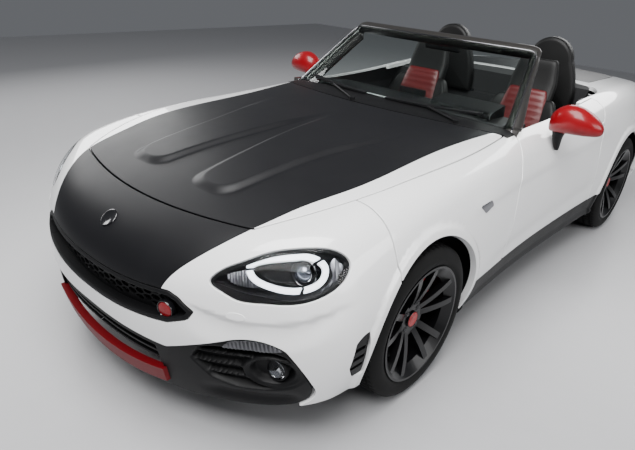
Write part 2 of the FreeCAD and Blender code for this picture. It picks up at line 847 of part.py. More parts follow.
def top_z(x, y):
    """Height of the outer form above a place in plan."""
    line = Part.makeLine(V(x, y, 500), V(x, y, 1200))
    return line.common(hull(0)).BoundBox.ZMax


def wipers():
    solids = []
    for pivot_x, x0, x1, z in WIPER_TABLE:
        sides = []
        for ahead in (GLASS_SET - SEAT, -BLADE_FRONT):
            sides.append([V(x, screen_y(x, z) + ahead, z) for x in (x0, (x0 + x1) / 2, x1)])
        (a, m, b), (p, q, r) = sides
        edges = [Part.Arc(a, m, b).toShape(), Part.makeLine(b, r), Part.Arc(r, q, p).toShape(), Part.makeLine(p, a)]
        blade = Part.Face(Part.Wire(edges)).extrude(V(0, 0, BLADE_THICK))
        y = screen_y(pivot_x, SCREEN_ARCS[0][0]) - WIPER_FOOT_Y
        surface = top_z(pivot_x, y)
        foot, top = V(pivot_x, y, surface - 60), V(pivot_x, y, surface + WIPER_RISE)
        arm = rod(top - V(0, 0, ARM_RADIUS), q + V(0, 0, BLADE_THICK / 2), ARM_RADIUS)
        body = fuse_all([blade, arm, rod(foot, top, WIPER_FOOT_RADIUS)])
        solids.append(biggest(body.cut(hull(-SEAT))))
    return Part.makeCompound(solids)


def inner_mirror():
    glass = box(-110, 110, 118, 140, 1095, 1155)
    glass = glass.makeFillet(10, glass.Edges)
    stem = rod(V(0, 120, 1130), V(0, 15, 1185), 7)
    body = glass.fuse(stem)
    return biggest(body.cut(screen_slab(-SEAT, SCREEN_DEPTH + SEAT)))


# Cabin



def column_point(distance):
    tilt = math.radians(COLUMN_TILT)
    return WHEEL_CENTRE - V(0, math.cos(tilt), math.sin(tilt)) * distance


def dashboard():
    body = prism(DASH, "x", -645, 645).common(hull(10)).fuse(prism(BINNACLE, "x", SEAT_X - 170, SEAT_X + 170))
    shroud = rod(column_point(300), column_point(75), SHROUD_RADIUS)
    body = fuse_all([body, shroud])
    body = body.cut(rod(column_point(220), column_point(0), COLUMN_RADIUS + SEAT))
    for cutter in (COWL_HOLE, HOOD_HOLE, screen_slab(-1, SCREEN_DEPTH + 1, 1)):
        body = body.cut(cutter)
    return biggest(body)


def steering_wheel():
    tilt = math.radians(COLUMN_TILT)
    normal = V(0, math.cos(tilt), math.sin(tilt))
    ring = Part.makeTorus(HAND_RADIUS, GRIP_RADIUS, WHEEL_CENTRE, normal)
    hub = rod(column_point(40), column_point(-8), 55)
    shaft = rod(column_point(180), column_point(30), COLUMN_RADIUS)
    up = V(0, -math.sin(tilt), math.cos(tilt))
    spokes = []
    for angle in (0, 180, 270):
        way = V(1, 0, 0) * math.cos(math.radians(angle)) + up * math.sin(math.radians(angle))
        across = normal.cross(way)
        a, b = WHEEL_CENTRE + way * 40, WHEEL_CENTRE + way * HAND_RADIUS
        corners = [a - across * 24, b - across * 16, b + across * 16, a + across * 24, a - across * 24]
        face = Part.Face(Part.makePolygon([c - normal * 14 for c in corners]))
        spokes.append(face.extrude(normal * 14))
    return fuse_all([ring, hub, shaft] + spokes)


def centre_console():
    body = prism(CONSOLE, "x", -TUNNEL_HALF + 8, TUNNEL_HALF - 8)
    lever = fuse_all([rod(LEVER_FOOT, LEVER_TOP, LEVER_RADIUS), Part.makeSphere(KNOB_RADIUS, LEVER_TOP)])
    return biggest(fuse_all([body, lever]).cut(prism(DASH, "x", -700, 700, SEAT)))


def seat():
    half = SEAT_WIDTH / 2
    body = prism(SEAT_SIDE, "x", SEAT_X - half, SEAT_X + half)
    head = HEAD_HALF
    for side in (-1, 1):
        points = [
            (SEAT_X + side * (half + 10), 560),
            (SEAT_X + side * half, 760, SEAT_X + side * (half - 2), 660),
            (SEAT_X + side * head, 850, SEAT_X + side * (head + 60), 846),
            (SEAT_X + side * (head - 20), 1000, SEAT_X + side * (head - 4), 930),
            (SEAT_X + side * (half + 10), 1000),
            (SEAT_X + side * (half + 10), 560),
        ]
        body = body.cut(prism(points, "y", 300, 900))
    for outline in (HOLLOW_SEAT, HOLLOW_BACK):
        body = body.cut(prism(outline, "x", SEAT_X - half + BOLSTER, SEAT_X + half - BOLSTER))
    rails = [
        box(SEAT_X + s * 170 - 15, SEAT_X + s * 170 + 15, -90, 480, FLOOR_Z + FLOOR_THICK + SEAT, 270)
        for s in (-1, 1)
    ]
    return biggest(fuse_all([body] + rails))


def roll_hoops():
    outline = [
        (165, SHELF_TOP + SEAT),
        (525, SHELF_TOP + SEAT),
        (470, 1060, 512, 930),
        (220, 1060, 345, 1174),
        (165, SHELF_TOP + SEAT, 178, 930),
    ]
    y0, y1 = HOOP_Y - 16, HOOP_Y + 16
    body = prism(outline, "y", y0, y1)
    inner = prism(outline, "y", y0 - 1, y1 + 1, -HOOP_BAR)
    foot = box(140, 550, y0 + 30, y1 + 20, SHELF_TOP + SEAT, SHELF_TOP + 14)
    body = biggest(fuse_all([body.cut(inner), foot]))
    return Part.makeCompound([body, other_side(body)])


def folded_top():
    outline = [
        (-590, 905),
        (590, 905),
        (555, 1000, 582, 960),
        (-555, 1000, 0, 1088),
        (-590, 905, -582, 960),
    ]
    return biggest(hull(2).common(prism(outline, "z", SHELF_TOP + SEAT, 1100)))


def side_mirror():
    rings = []
    for x, ry, rz in MIRROR_SECTIONS:
        points = [
            (MIRROR_Y, MIRROR_Z - rz),
            (MIRROR_Y, MIRROR_Z + rz, MIRROR_Y - ry, MIRROR_Z),
            (MIRROR_Y, MIRROR_Z - rz, MIRROR_Y + ry, MIRROR_Z),
        ]
        rings.append(wire(points, lambda a, b: V(x, a, b)))
    shell = Part.makeLoft(rings, True, False)
    back = MIRROR_Y + MIRROR_CUT
    recess = shell.copy().scale(0.84, V(870, back, MIRROR_Z)).common(box(700, 1000, back - MIRROR_INSET, 200, 700, 1100))
    shell = shell.common(box(700, 1000, -300, back, 700, 1100)).cut(recess)
    body = fuse_all([shell, prism(MIRROR_STEM, "x", *MIRROR_STEM_X)])
    return biggest(body.cut(hull(-SEAT)))


def gills():
    """The dark vents at the bumper's corners, with three slots each."""
    body = layer(prism(GILL, "x", GILL_X, 1000), 3, SKIN)
    slots = [box(700, 1000, -1640, -1552, z, z + 14).common(hull(0)).cut(hull(14)) for z in (335, 370, 405)]
    body = biggest(body.cut(Part.makeCompound(slots)))
    return Part.makeCompound([body, other_side(body)])


def tow_cap():
    """The round cover of the towing eye, held in the grille mesh."""
    x, z = TOW_CAP
    bar = rod(V(x, NOSE_Y, z), V(x, NOSE_Y + 200, z), TOW_CAP_RADIUS)
    return bar.common(nose_slab(HEX_SET_BACK - TOW_CAP_THICK, HEX_SET_BACK - SEAT))


def fog_lamps():
    x, z = FOG_LAMP
    well = Part.makeCylinder(FOG_RADIUS - SEAT, 400, V(x, -1990, z), V(0, 1, 0))
    body = layer(well, FOG_SET_BACK - 8, FOG_SET_BACK - SEAT)
    return Part.makeCompound([body, other_side(body)])


# Chassis

def rim():
    """Barrel, hub and spokes about the X axis, the outer face towards +X, centred on the wheel's plane."""
    half = RIM_WIDTH / 2
    drop = BEAD_RADIUS - 22
    profile = [
        (-half, FLANGE_RADIUS),
        (-half + 10, FLANGE_RADIUS),
        (-half + 10, BEAD_RADIUS),
        (-half + 50, BEAD_RADIUS - 3),
        (0, drop),
        (half - 40, drop),
        (half - 10, BEAD_RADIUS),
        (half - 10, FLANGE_RADIUS),
        (half, FLANGE_RADIUS),
        (half, FLANGE_RADIUS - RIM_WALL),
        (half - 30, drop - RIM_WALL),
        (0, drop - RIM_WALL),
        (-half + 50, BEAD_RADIUS - 3 - RIM_WALL),
        (-half, FLANGE_RADIUS - RIM_WALL - 6),
        (-half, FLANGE_RADIUS),
    ]
    barrel = Part.Face(wire(profile, lambda a, b: V(a, 0, b))).revolve(V(0, 0, 0), V(1, 0, 0), 360)
    hub_in = HUB_FACE_X - WHEEL_X
    hub = Part.makeCylinder(HUB_RADIUS, 34, V(hub_in, 0, 0), V(1, 0, 0))
    cap = Part.makeCylinder(30, 40, V(hub_in, 0, 0), V(1, 0, 0))
    side = [
        (hub_in + 4, 50),
        (hub_in + 4 + SPOKE_DEPTH, 50),
        (half - 6, FLANGE_RADIUS - RIM_WALL - 2, half - 20, 150),
        (half - 26, drop + 4),
        (hub_in + 4, 50, half - 50, 140),
    ]
    spoke = Part.Face(wire(side, lambda a, b: V(a, -SPOKE_WIDTH / 2, b))).extrude(V(0, SPOKE_WIDTH, 0))
    spokes = []
    for pair in range(SPOKE_PAIRS):
        for lean in (-SPOKE_ANGLE, SPOKE_ANGLE):
            turned = spoke.copy()
            turned.rotate(V(0, 0, 0), V(1, 0, 0), pair * 360 / SPOKE_PAIRS + lean)
            spokes.append(turned)
    return fuse_all([barrel, hub, cap] + spokes)


def tyre():
    half = TYRE_WIDTH / 2
    seat = BEAD_RADIUS + SEAT
    bead = RIM_WIDTH / 2 - 10 - SEAT
    lip = FLANGE_RADIUS + SEAT
    profile = [
        (-bead, seat),
        (-bead, lip),
        (-half, 268),
        (-half + 20, TYRE_RADIUS),
        (half - 20, TYRE_RADIUS),
        (half, 268),
        (bead, lip),
        (bead, seat),
        (-bead, seat),
    ]
    return Part.Face(wire(profile, lambda a, b: V(a, 0, b))).revolve(V(0, 0, 0), V(1, 0, 0), 360)


def hub_disc(front):
    """Brake disc and hub, and at the rear the half shaft, in the car's place on its left side."""
    y = axle_y(front)
    x_in, x_out = DISC_X - DISC_THICK / 2, DISC_X + DISC_THICK / 2
    hub = rod(V(x_in - 12, y, AXLE_Z), V(HUB_FACE_X, y, AXLE_Z), 52)
    plate = rod(V(HUB_FACE_X - 12, y, AXLE_Z), V(HUB_FACE_X, y, AXLE_Z), 70)
    disc = rod(V(x_in, y, AXLE_Z), V(x_out, y, AXLE_Z), DISC_RADIUS)
    bore = rod(V(x_in - 13, y, AXLE_Z), V(HUB_FACE_X - 15, y, AXLE_Z), STUB_RADIUS + BORE_PLAY)
    body = fuse_all([hub, plate, disc]).cut(bore)
    if front:
        return body
    shaft = rod(V(DIFF_HALF + 20, y, AXLE_Z), V(HUB_FACE_X - 5, y, AXLE_Z), SHAFT_RADIUS)
    boots = [rod(V(x, y, AXLE_Z), V(x + 60, y, AXLE_Z), 38) for x in (DIFF_HALF + SEAT, 560)]
    return fuse_all([body, shaft] + boots)


def caliper(front):
    y = axle_y(front)
    x_in, x_out = DISC_X - DISC_THICK / 2 - CALIPER_CHEEK, DISC_X + DISC_THICK / 2 + CALIPER_CHEEK
    outline = [
        (-62, 96),
        (62, 96, 0, 74),
        (86, 140),
        (-86, 140, 0, 176),
        (-62, 96),
    ]
    body = Part.Face(wire(outline, lambda a, b: V(x_in, a, b))).extrude(V(x_out - x_in, 0, 0))
    body.rotate(V(0, 0, 0), V(1, 0, 0), -CALIPER_TURN)
    body.translate(V(0, y, AXLE_Z))
    slot = rod(
        V(DISC_X - DISC_THICK / 2 - CALIPER_PLAY, y, AXLE_Z),
        V(DISC_X + DISC_THICK / 2 + CALIPER_PLAY, y, AXLE_Z), DISC_RADIUS + CALIPER_PLAY)
    return biggest(body.cut(slot))


def knuckle():
    """The left front upright: kingpin, body and stub axle."""
    y = FRONT_AXLE_Y
    low, high = ARM_Z
    pin = rod(V(KINGPIN_X, y, low - 16), V(KINGPIN_X, y, high + 16), KINGPIN_RADIUS)
    body = box(KINGPIN_X - 17, KINGPIN_X + 17, y - 26, y + 26, low + ARM_THICK / 2 + 0.5, high - ARM_THICK / 2 - 0.5)
    stub = rod(V(KINGPIN_X, y, AXLE_Z), V(HUB_FACE_X - 16, y, AXLE_Z), STUB_RADIUS)
    bracket_z = AXLE_Z + 118
    bracket = box(KINGPIN_X - 17, DISC_X - DISC_THICK / 2 - CALIPER_CHEEK - SEAT, y - 20, y + 60, AXLE_Z + 92, bracket_z)
    return fuse_all([pin, body, stub, bracket])


def wishbone(z, x_inner, spread, y):
    ring = Part.makeCylinder(KINGPIN_RADIUS + 9, ARM_THICK, V(KINGPIN_X, y, z - ARM_THICK / 2))
    arms = []
    for side in (-1, 1):
        arms.append(prism([
            (KINGPIN_X - 24, y + side * 12 - 11),
            (KINGPIN_X - 24, y + side * 12 + 11),
            (x_inner, y + side * spread + 14),
            (x_inner, y + side * spread - 14),
            (KINGPIN_X - 24, y + side * 12 - 11),
        ], "z", z - ARM_THICK / 2, z + ARM_THICK / 2))
    return fuse_all([ring] + arms)


def front_subframe():
    y = FRONT_AXLE_Y
    low, high = ARM_Z
    top = ENGINE[4] - SEAT
    pieces = [
        box(-435, 435, y - 110, y - 60, 190, top),
        box(-435, 435, y + 60, y + 110, 190, top),
        box(-60, 60, y - 60, y + 60, 190, top),
        rod(V(-350, y + 150, 202), V(350, y + 150, 202), 22),
        box(-40, 40, y + 105, y + 150, 190, 214),
    ]
    for side in (-1, 1):
        x0, x1 = sorted((side * 385, side * 435))
        pieces.append(box(x0, x1, y - 110, y + 110, 190, 300 - SEAT))
    bore = []
    for z, x_inner in ((low, 425), (high, FRONT_WELL_X + SEAT)):
        arm = wishbone(z, x_inner, 85, y)
        pieces += [arm, other_side(arm)]
        hole = rod(V(KINGPIN_X, y, z - 20), V(KINGPIN_X, y, z + 20), KINGPIN_RADIUS + BORE_PLAY)
        bore += [hole, other_side(hole)]
    return fuse_all(pieces).cut(Part.makeCompound(bore))


def rear_suspension():
    y = REAR_AXLE_Y
    pieces = [
        rod(V(-DIFF_HALF, y, AXLE_Z), V(DIFF_HALF, y, AXLE_Z), 68),
        box(-60, 60, y - 110, y, AXLE_Z - 40, AXLE_Z + 40),
        box(-520, 520, y - 190, y - 130, 186, 214),
        box(-40, 40, y - 190, y - 60, 186, 214),
        box(-40, 40, y - 100, y - 60, 186, 290),
        box(-520, 520, y + 130, y + 190, 186, 214),
        box(-40, 40, y, y + 190, 240, 275),
        box(-40, 40, y + 150, y + 190, 186, 275),
    ]
    for side in (-1, 1):
        x0, x1 = sorted((side * 460, side * 520))
        for y0 in (y - 190, y + 130):
            pieces.append(box(x0, x1, y0, y0 + 60, 186, TRUNK_FLOOR_Z - SHEET - SEAT))
        a, b = sorted((side * (KINGPIN_X - 17), side * (KINGPIN_X + 17)))
        pieces.append(box(a, b, y - 40, y + 40, 205, AXLE_Z + 118))
        stub = rod(V(side * KINGPIN_X, y, AXLE_Z), V(side * (HUB_FACE_X - 16), y, AXLE_Z), STUB_RADIUS)
        pieces.append(stub)
        for dy in (-160, 160):
            pieces.append(rod(V(side * 500, y + dy, 204), V(side * KINGPIN_X, y + dy * 0.2, 228), 16))
        pieces.append(rod(V(side * 500, y - 160, 330), V(side * KINGPIN_X, y - 25, 372), 14))
        bracket = sorted((side * (KINGPIN_X - 17), side * (DISC_X - DISC_THICK / 2 - CALIPER_CHEEK - SEAT)))
        pieces.append(box(bracket[0], bracket[1], y - 20, y + 60, AXLE_Z + 92, AXLE_Z + 118))
    body = fuse_all(pieces)
    bores = [rod(V(side * 600, y, AXLE_Z), V(side * 800, y, AXLE_Z), SHAFT_RADIUS + 8) for side in (-1, 1)]
    return body.cut(Part.makeCompound(bores))


def place_wheel(shape, front, left):
    placed = shape.copy()
    placed.translate(V(WHEEL_X, axle_y(front), AXLE_Z))
    return placed if left else other_side(placed)


def build():
    os.makedirs(PARTS, exist_ok=True)
    made = {}
    made["front_bumper"] = front_bumper()
    made["hood"] = hood()
    made["fender_left"] = fender()
    made["fender_right"] = other_side(made["fender_left"])
    made["cowl_panel"] = cowl_panel()
    made["door_left"] = door()
    made["door_right"] = other_side(made["door_left"])
    made["rear_body"] = rear_body()
    made["trunk_lid"] = trunk_lid()
    made["rear_bumper"] = rear_bumper()
    made["side_skirts"] = skirts()
    made["floor_pan"] = floor_pan()
    made["firewall"] = firewall()
    made["engine_bay"] = engine_bay()
    made["rear_tub"] = rear_tub()
    made["grille"] = grille()
    made["lower_valance"] = valance()
    made["front_splitter"] = splitter()
    made["bumper_gills"] = gills()
    made["tow_cap"] = tow_cap()
    headlamps = lamp_pair(HEADLAMP, -2100, LAMP_BACK_Y, 45)
    made["front_lamps"] = Part.makeCompound([headlamps, fog_lamps()])
    made["tail_lamps"] = lamp_pair(TAIL_LAMP, 1700, 2100, 30)
    made["rear_diffuser"] = diffuser()
    made["exhaust"] = exhaust()
    made["radiator"] = radiator()
    made["engine"] = engine()
    made["windshield_frame"] = windshield_frame()
    made["windshield_glass"] = windshield_glass()
    made["wipers"] = wipers()
    made["inner_mirror"] = inner_mirror()
    made["dashboard"] = dashboard()
    made["steering_wheel"] = steering_wheel()
    made["centre_console"] = centre_console()
    made["seat_left"] = seat()
    made["seat_right"] = other_side(made["seat_left"])
    made["roll_hoops"] = roll_hoops()
    made["folded_top"] = folded_top()
    made["mirror_left"] = side_mirror()
    made["mirror_right"] = other_side(made["mirror_left"])
    made["front_subframe"] = front_subframe()
    made["rear_suspension"] = rear_suspension()
    made["knuckle_left"] = knuckle()
    made["knuckle_right"] = other_side(made["knuckle_left"])
    made["caliper_left"] = caliper(True)
    made["caliper_right"] = other_side(made["caliper_left"])
    rear_caliper = caliper(False)
    made["rear_calipers"] = Part.makeCompound([rear_caliper, other_side(rear_caliper)])
    wheel, rubber = rim(), tyre()
    for front in (True, False):
        hub = hub_disc(front)
        for left in (True, False):
            place = ("front" if front else "rear") + ("_left" if left else "_right")
            made["wheel_" + place] = place_wheel(wheel, front, left)
            made["tyre_" + place] = place_wheel(rubber, front, left)
            made["hub_" + place] = hub if left else other_side(hub)
    for name, shape in made.items():
        shape.exportStep(os.path.join(PARTS, name + ".step"))
    return made


build()
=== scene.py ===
import bmesh
import bpy
import math
import numpy as np
from mathutils import Matrix, Vector


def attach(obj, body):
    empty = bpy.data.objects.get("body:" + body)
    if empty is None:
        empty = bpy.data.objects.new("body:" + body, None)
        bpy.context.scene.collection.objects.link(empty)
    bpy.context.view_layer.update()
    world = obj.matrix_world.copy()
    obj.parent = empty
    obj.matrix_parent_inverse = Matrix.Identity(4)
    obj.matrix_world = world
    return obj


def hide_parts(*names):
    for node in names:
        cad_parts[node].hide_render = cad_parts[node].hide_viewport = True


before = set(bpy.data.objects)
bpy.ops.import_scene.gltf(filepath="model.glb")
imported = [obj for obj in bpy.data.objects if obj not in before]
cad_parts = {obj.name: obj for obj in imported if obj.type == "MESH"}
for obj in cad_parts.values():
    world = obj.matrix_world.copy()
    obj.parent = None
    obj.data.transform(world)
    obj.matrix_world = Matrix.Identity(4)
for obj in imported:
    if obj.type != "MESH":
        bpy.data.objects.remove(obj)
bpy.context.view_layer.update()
MM = 0.001

# Sizes shared with the CAD model
NOSE_Y = -2027.0
TAIL_Y = 2027.0
FRONT_AXLE_Y = -1177.0
REAR_AXLE_Y = 1133.0
AXLE_Z = 308.0
WHEEL_X = 748.0
ARCH_RADIUS = 352.0
BELLY_Z = 450.0
SEAT_X = 362.0
WHEEL_CENTRE = (362.0, 20.0, 720.0)
COLUMN_TILT = 24.0
GAP = 5.0
FIT = 2.0
EDGE = 2.5
SIDES = (("left", 1), ("right", -1))
CORNERS = (
    ("front_left", FRONT_AXLE_Y, 1),
    ("front_right", FRONT_AXLE_Y, -1),
    ("rear_left", REAR_AXLE_Y, 1),
    ("rear_right", REAR_AXLE_Y, -1),
)

# Body sections along the car. Columns: y, z_bottom, x_sill, x_belly, x_shoulder, z_shoulder, z_centre
SECTIONS = (
    (-2040, 160, 690, 800, 640, 655, 640),
    (-1800, 150, 740, 838, 690, 722, 735),
    (-1500, 150, 790, 862, 745, 785, 800),
    (-1177, 160, 800, 868, 755, 818, 838),
    (-700, 170, 790, 850, 740, 838, 880),
    (-320, 180, 780, 832, 735, 850, 915),
    (200, 180, 785, 830, 735, 862, 880),
    (700, 180, 800, 846, 745, 888, 890),
    (1133, 180, 810, 868, 750, 905, 915),
    (1600, 190, 780, 850, 720, 885, 905),
    (2040, 230, 700, 790, 660, 845, 870),
)
# How far nose and tail lean in at each height. Columns: z, set_in
NOSE_LEAN = (
    (0, 135), (150, 45), (300, 9), (430, 0), (600, 32), (690, 75), (760, 122), (850, 200), (980, 335)
)
TAIL_LEAN = ((0, 150), (100, 90), (300, 30), (430, 0), (600, 5), (760, 30), (860, 70), (980, 160))

# Where panels meet or end
BUMPER_SPLIT_Y = -1395.0
REAR_SPLIT_Y = 1500.0
REAR_SPLIT_Z = 645.0
SKIRT_TOP = 330.0
SKIRT_Y = (-850.0, 790.0)
DOOR_INNER_X = 678.0
FRONT_BOTTOM_Z = 213.0
REAR_BOTTOM_Z = 205.0
SKIRT_BOTTOM_Z = 172.0

# Panel outlines. A point is (a, b), or (a, b, via_a, via_b) for an arc that arrives there.
HOOD = (
    (-507, -1722), (507, -1722, 0, -1803), (672, -1188, 622, -1460), (672, -400, 690, -780),
    (-672, -400, 0, -592), (-672, -1188, -690, -780), (-507, -1722, -622, -1460),
)
COWL = ((-690, -392), (690, -392, 0, -586), (690, -290), (-690, -290, 0, -440), (-690, -392))
COCKPIT = (
    (-650, -420), (650, -420), (650, 760), (590, 1010, 645, 910), (-590, 1010, 0, 1105),
    (-650, 760, -645, 910), (-650, -420),
)
TRUNK = (
    (-520, 1120), (520, 1120, 0, 1165), (452, 1900, 512, 1540), (452, 2100), (-452, 2100), (-452, 1900),
    (-520, 1120, -512, 1540),
)
TRUNK_LIP_Z = 700.0
DOOR = (
    (-500, 333), (610, 333), (610, 560), (715, 830, 638, 700), (718, 1000), (-312, 1000), (-312, 849),
    (-496, 440, -440, 640), (-500, 333),
)
GRILLE = (
    (-460, 493), (-392, 463), (392, 463, 0, 438), (460, 493), (473, 521), (424, 555), (386, 566),
    (-386, 566, 0, 548), (-424, 555), (-473, 521), (-460, 493),
)
VALANCE = (
    (0, 372), (384, 364), (572, 446), (736, 446, 660, 466), (789, 313, 768, 388), (748, 215, 782, 250),
    (433, 172), (0, 166), (-433, 172), (-748, 215), (-789, 313, -782, 250), (-736, 446, -768, 388),
    (-572, 446, -660, 466), (-384, 364), (0, 372),
)
TAIL_LAMP = ((485, 790), (485, 735), (735, 700, 620, 712), (752, 770), (485, 790, 620, 800))
DIFFUSER = ((-500, 330), (-540, 150), (540, 150), (500, 330), (-500, 330))
# The left headlamp's edge on the body, as points x, y, z
HEADLAMP = (
    (503, -1888, 627), (512, -1868, 650), (557, -1818, 685), (612, -1750, 718), (673, -1686, 733),
    (723, -1631, 734), (761, -1596, 720), (786, -1585, 696), (798, -1605, 667), (797, -1647, 639),
    (780, -1697, 618), (734, -1761, 599), (659, -1821, 592), (589, -1863, 591), (542, -1881, 607),
)
# Where the matte black paint of the nose ends, as points x, y
BLACK_EDGE = (
    (250, -2100), (338, -1992), (374, -1947), (416, -1895), (466, -1819), (506, -1723), (541, -1553),
    (585, -1356), (598, -1084), (596, -803), (617, -553), (640, -380),
)

# Form of the body


def spline(points):
    """A smooth line through (a, b) pairs, as a function of a that holds its end values."""
    a, b = np.array(points, float).T
    step = np.diff(a)
    n = len(a)
    matrix = np.zeros((n, n))
    right = np.zeros(n)
    matrix[0, 0] = matrix[-1, -1] = 1
    for i in range(1, n - 1):
        matrix[i, i - 1 : i + 2] = step[i - 1], 2 * (step[i - 1] + step[i]), step[i]
        right[i] = 6 * ((b[i + 1] - b[i]) / step[i] - (b[i] - b[i - 1]) / step[i - 1])
    bend = np.linalg.solve(matrix, right)

    def at(value):
        value = np.clip(value, a[0], a[-1])
        i = np.clip(np.searchsorted(a, value) - 1, 0, n - 2)
        w = step[i]
        t, s = value - a[i], a[i + 1] - value
        curve = (bend[i] * s**3 + bend[i + 1] * t**3) / (6 * w)
        return curve + (b[i] / w - bend[i] * w / 6) * s + (b[i + 1] / w - bend[i + 1] * w / 6) * t

    return at


COLUMNS = [spline([(row[0], row[i]) for row in SECTIONS]) for i in range(1, 7)]
NOSE_LEAN_AT = spline(NOSE_LEAN)
TAIL_LEAN_AT = spline(TAIL_LEAN)


def smooth_max(a, b, width):
    """The larger of two values, blended where they differ by less than width."""
    h = np.clip(0.5 + 0.5 * (a - b) / width, 0, 1)
    return b + (a - b) * h + width * h * (1 - h)


def smooth_min(a, b, width):
    """The smaller of two values, blended where they differ by less than width."""
    return -smooth_max(-a, -b, width)


def lengths(line):
    """Distance along a line at each of its points."""
    return np.concatenate([[0], np.cumsum(np.linalg.norm(np.diff(line, axis=0), axis=1))])


def units(rows):
    """Each row scaled to length 1."""
    return rows / np.maximum(np.linalg.norm(rows, axis=1), 1e-9)[:, None]


def turns(count):
    """The angles of a full turn in equal steps."""
    return np.arange(count) * 2 * math.pi / count


def power_of(value, power):
    """A power that keeps the sign."""
    return np.sign(value) * np.abs(value) ** power


def rise(value, start, end):
    """0 before start, 1 after end and smooth between them."""
    t = np.clip((value - start) / (end - start), 0, 1)
    return t * t * (3 - 2 * t)


BULGE_INNER = spline(((-1700, 96), (-1580, 84), (-1397, 64), (-1149, 34), (-790, 0)))
BULGE_OUTER = spline(((-1700, 280), (-1636, 292), (-1329, 321), (-1133, 347), (-940, 392), (-790, 420)))
CREASE_Z = spline(((-900, 676), (-500, 688), (0, 694), (500, 704), (900, 730)))
FOLD_Z = spline(
    ((440, 558), (498, 544), (559, 534), (615, 529), (690, 536), (757, 551), (791, 568), (840, 600))
)


# How far the reliefs of the body stand out or lie in, and the width from which the side ones begin
BULGE_OUT = 14
FLARE_OUT = 9
CREASE_OUT = 6
HOLLOW_IN = 7
FOLD_IN = 15
SIDE_FROM_X = 560


def bulge_zone(p):
    """Above 0 inside the raised bands of the bonnet."""
    x, y = np.abs(p[:, 0]), p[:, 1]
    inside = smooth_min(x - BULGE_INNER(y), BULGE_OUTER(y) - x, 40)
    return smooth_min(inside, y + 1674, 70)


def relief(p):
    """How far bulges, flares, creases and the fold under the lamps stand out from the form."""
    x, y, z = np.abs(p[:, 0]), p[:, 1], p[:, 2]
    out = BULGE_OUT * rise(bulge_zone(p), -4, 34) * rise(-y, 760, 1130) * (z > 600)
    for axle in (FRONT_AXLE_Y, REAR_AXLE_Y):
        away = np.hypot(y - axle, z - AXLE_Z)
        out += FLARE_OUT * (1 - rise(away, 374, 396)) * (x > SIDE_FROM_X)
    above = z - CREASE_Z(y)
    ridge = np.where(above > 0, np.exp(-((above / 60) ** 2)), np.exp(-((above / 22) ** 2)))
    out += CREASE_OUT * ridge * rise(y, -960, -700) * (1 - rise(y, 520, 900)) * (x > SIDE_FROM_X)
    low = z - 400 - 0.03 * y
    hollow = HOLLOW_IN * np.exp(-((low / 45) ** 2))
    out -= hollow * rise(y, -760, -420) * (1 - rise(y, 480, 700)) * (x > SIDE_FROM_X)
    below = FOLD_Z(x) - z
    channel = rise(below, -3, 20) * (1 - rise(below, 24, 110))
    out -= FOLD_IN * channel * rise(x, 430, 530) * (1 - rise(x, 770, 850)) * (y < -1400)
    return out


def depth_of(p):
    """Signed distance of points to the body's outer form, above 0 outside it."""
    x, y, z = np.abs(p[:, 0]), p[:, 1], p[:, 2]
    z_bottom, x_sill, x_belly, x_shoulder, z_shoulder, z_centre = [c(y) for c in COLUMNS]
    up = np.clip((z - BELLY_Z) / (z_shoulder - BELLY_Z), 0, 1.6)
    down = np.clip((BELLY_Z - z) / (BELLY_Z - z_bottom), 0, 1.6)
    side = x_belly - (x_belly - x_shoulder) * up**2.2 - (x_belly - x_sill) * down**2
    top = z_centre + (z_shoulder - z_centre) * (x / x_shoulder) ** 2
    plan = (x / 640) ** 2.4 * 165
    form = smooth_max(x - side, z - top, 90)
    form = smooth_max(form, NOSE_Y + NOSE_LEAN_AT(z) + plan - y, 110)
    form = smooth_max(form, y - TAIL_Y + TAIL_LEAN_AT(z) + plan, 90)
    return form - relief(p)


def normals_of(p):
    """Outward directions of the body's form at points."""
    steps = np.eye(3) * 0.5
    slope = np.stack([depth_of(p + s) - depth_of(p - s) for s in steps], 1)
    return units(slope)


def cast(origins, ways, far=1500.0):
    """Where rays from inside the body meet its outer form."""
    near = np.zeros(len(origins))
    distant = np.full(len(origins), far)
    for _ in range(26):
        middle = (near + distant) / 2
        inside = depth_of(origins + ways * middle[:, None]) < 0
        near = np.where(inside, middle, near)
        distant = np.where(inside, distant, middle)
    return origins + ways * near[:, None]


def on_front(x, z, depth=0.0):
    """The point of the body seen from the front at (x, z), pushed in along the normal by depth."""
    p = cast(np.array([[x, -1000.0, z]]), np.array([[0.0, -1.0, 0.0]]))
    return (p - normals_of(p) * depth)[0]


# Mesh of the outer form

# Where the rays begin to fan out at both ends (y, z), and their angles in degrees
FAN_FRONT = (-1400.0, 490.0)
FAN_REAR = (1500.0, 520.0)
LOWEST_Z = 110.0
RAY_ANGLES = np.concatenate(
    [np.linspace(-90, -34, 24), np.linspace(-33, 39, 67), np.linspace(40, 90, 26)]
)
FAN_ANGLES = np.concatenate([np.linspace(1, 66, 56), np.linspace(68.5, 89.5, 9)])
MIDDLE_COLUMNS = 190


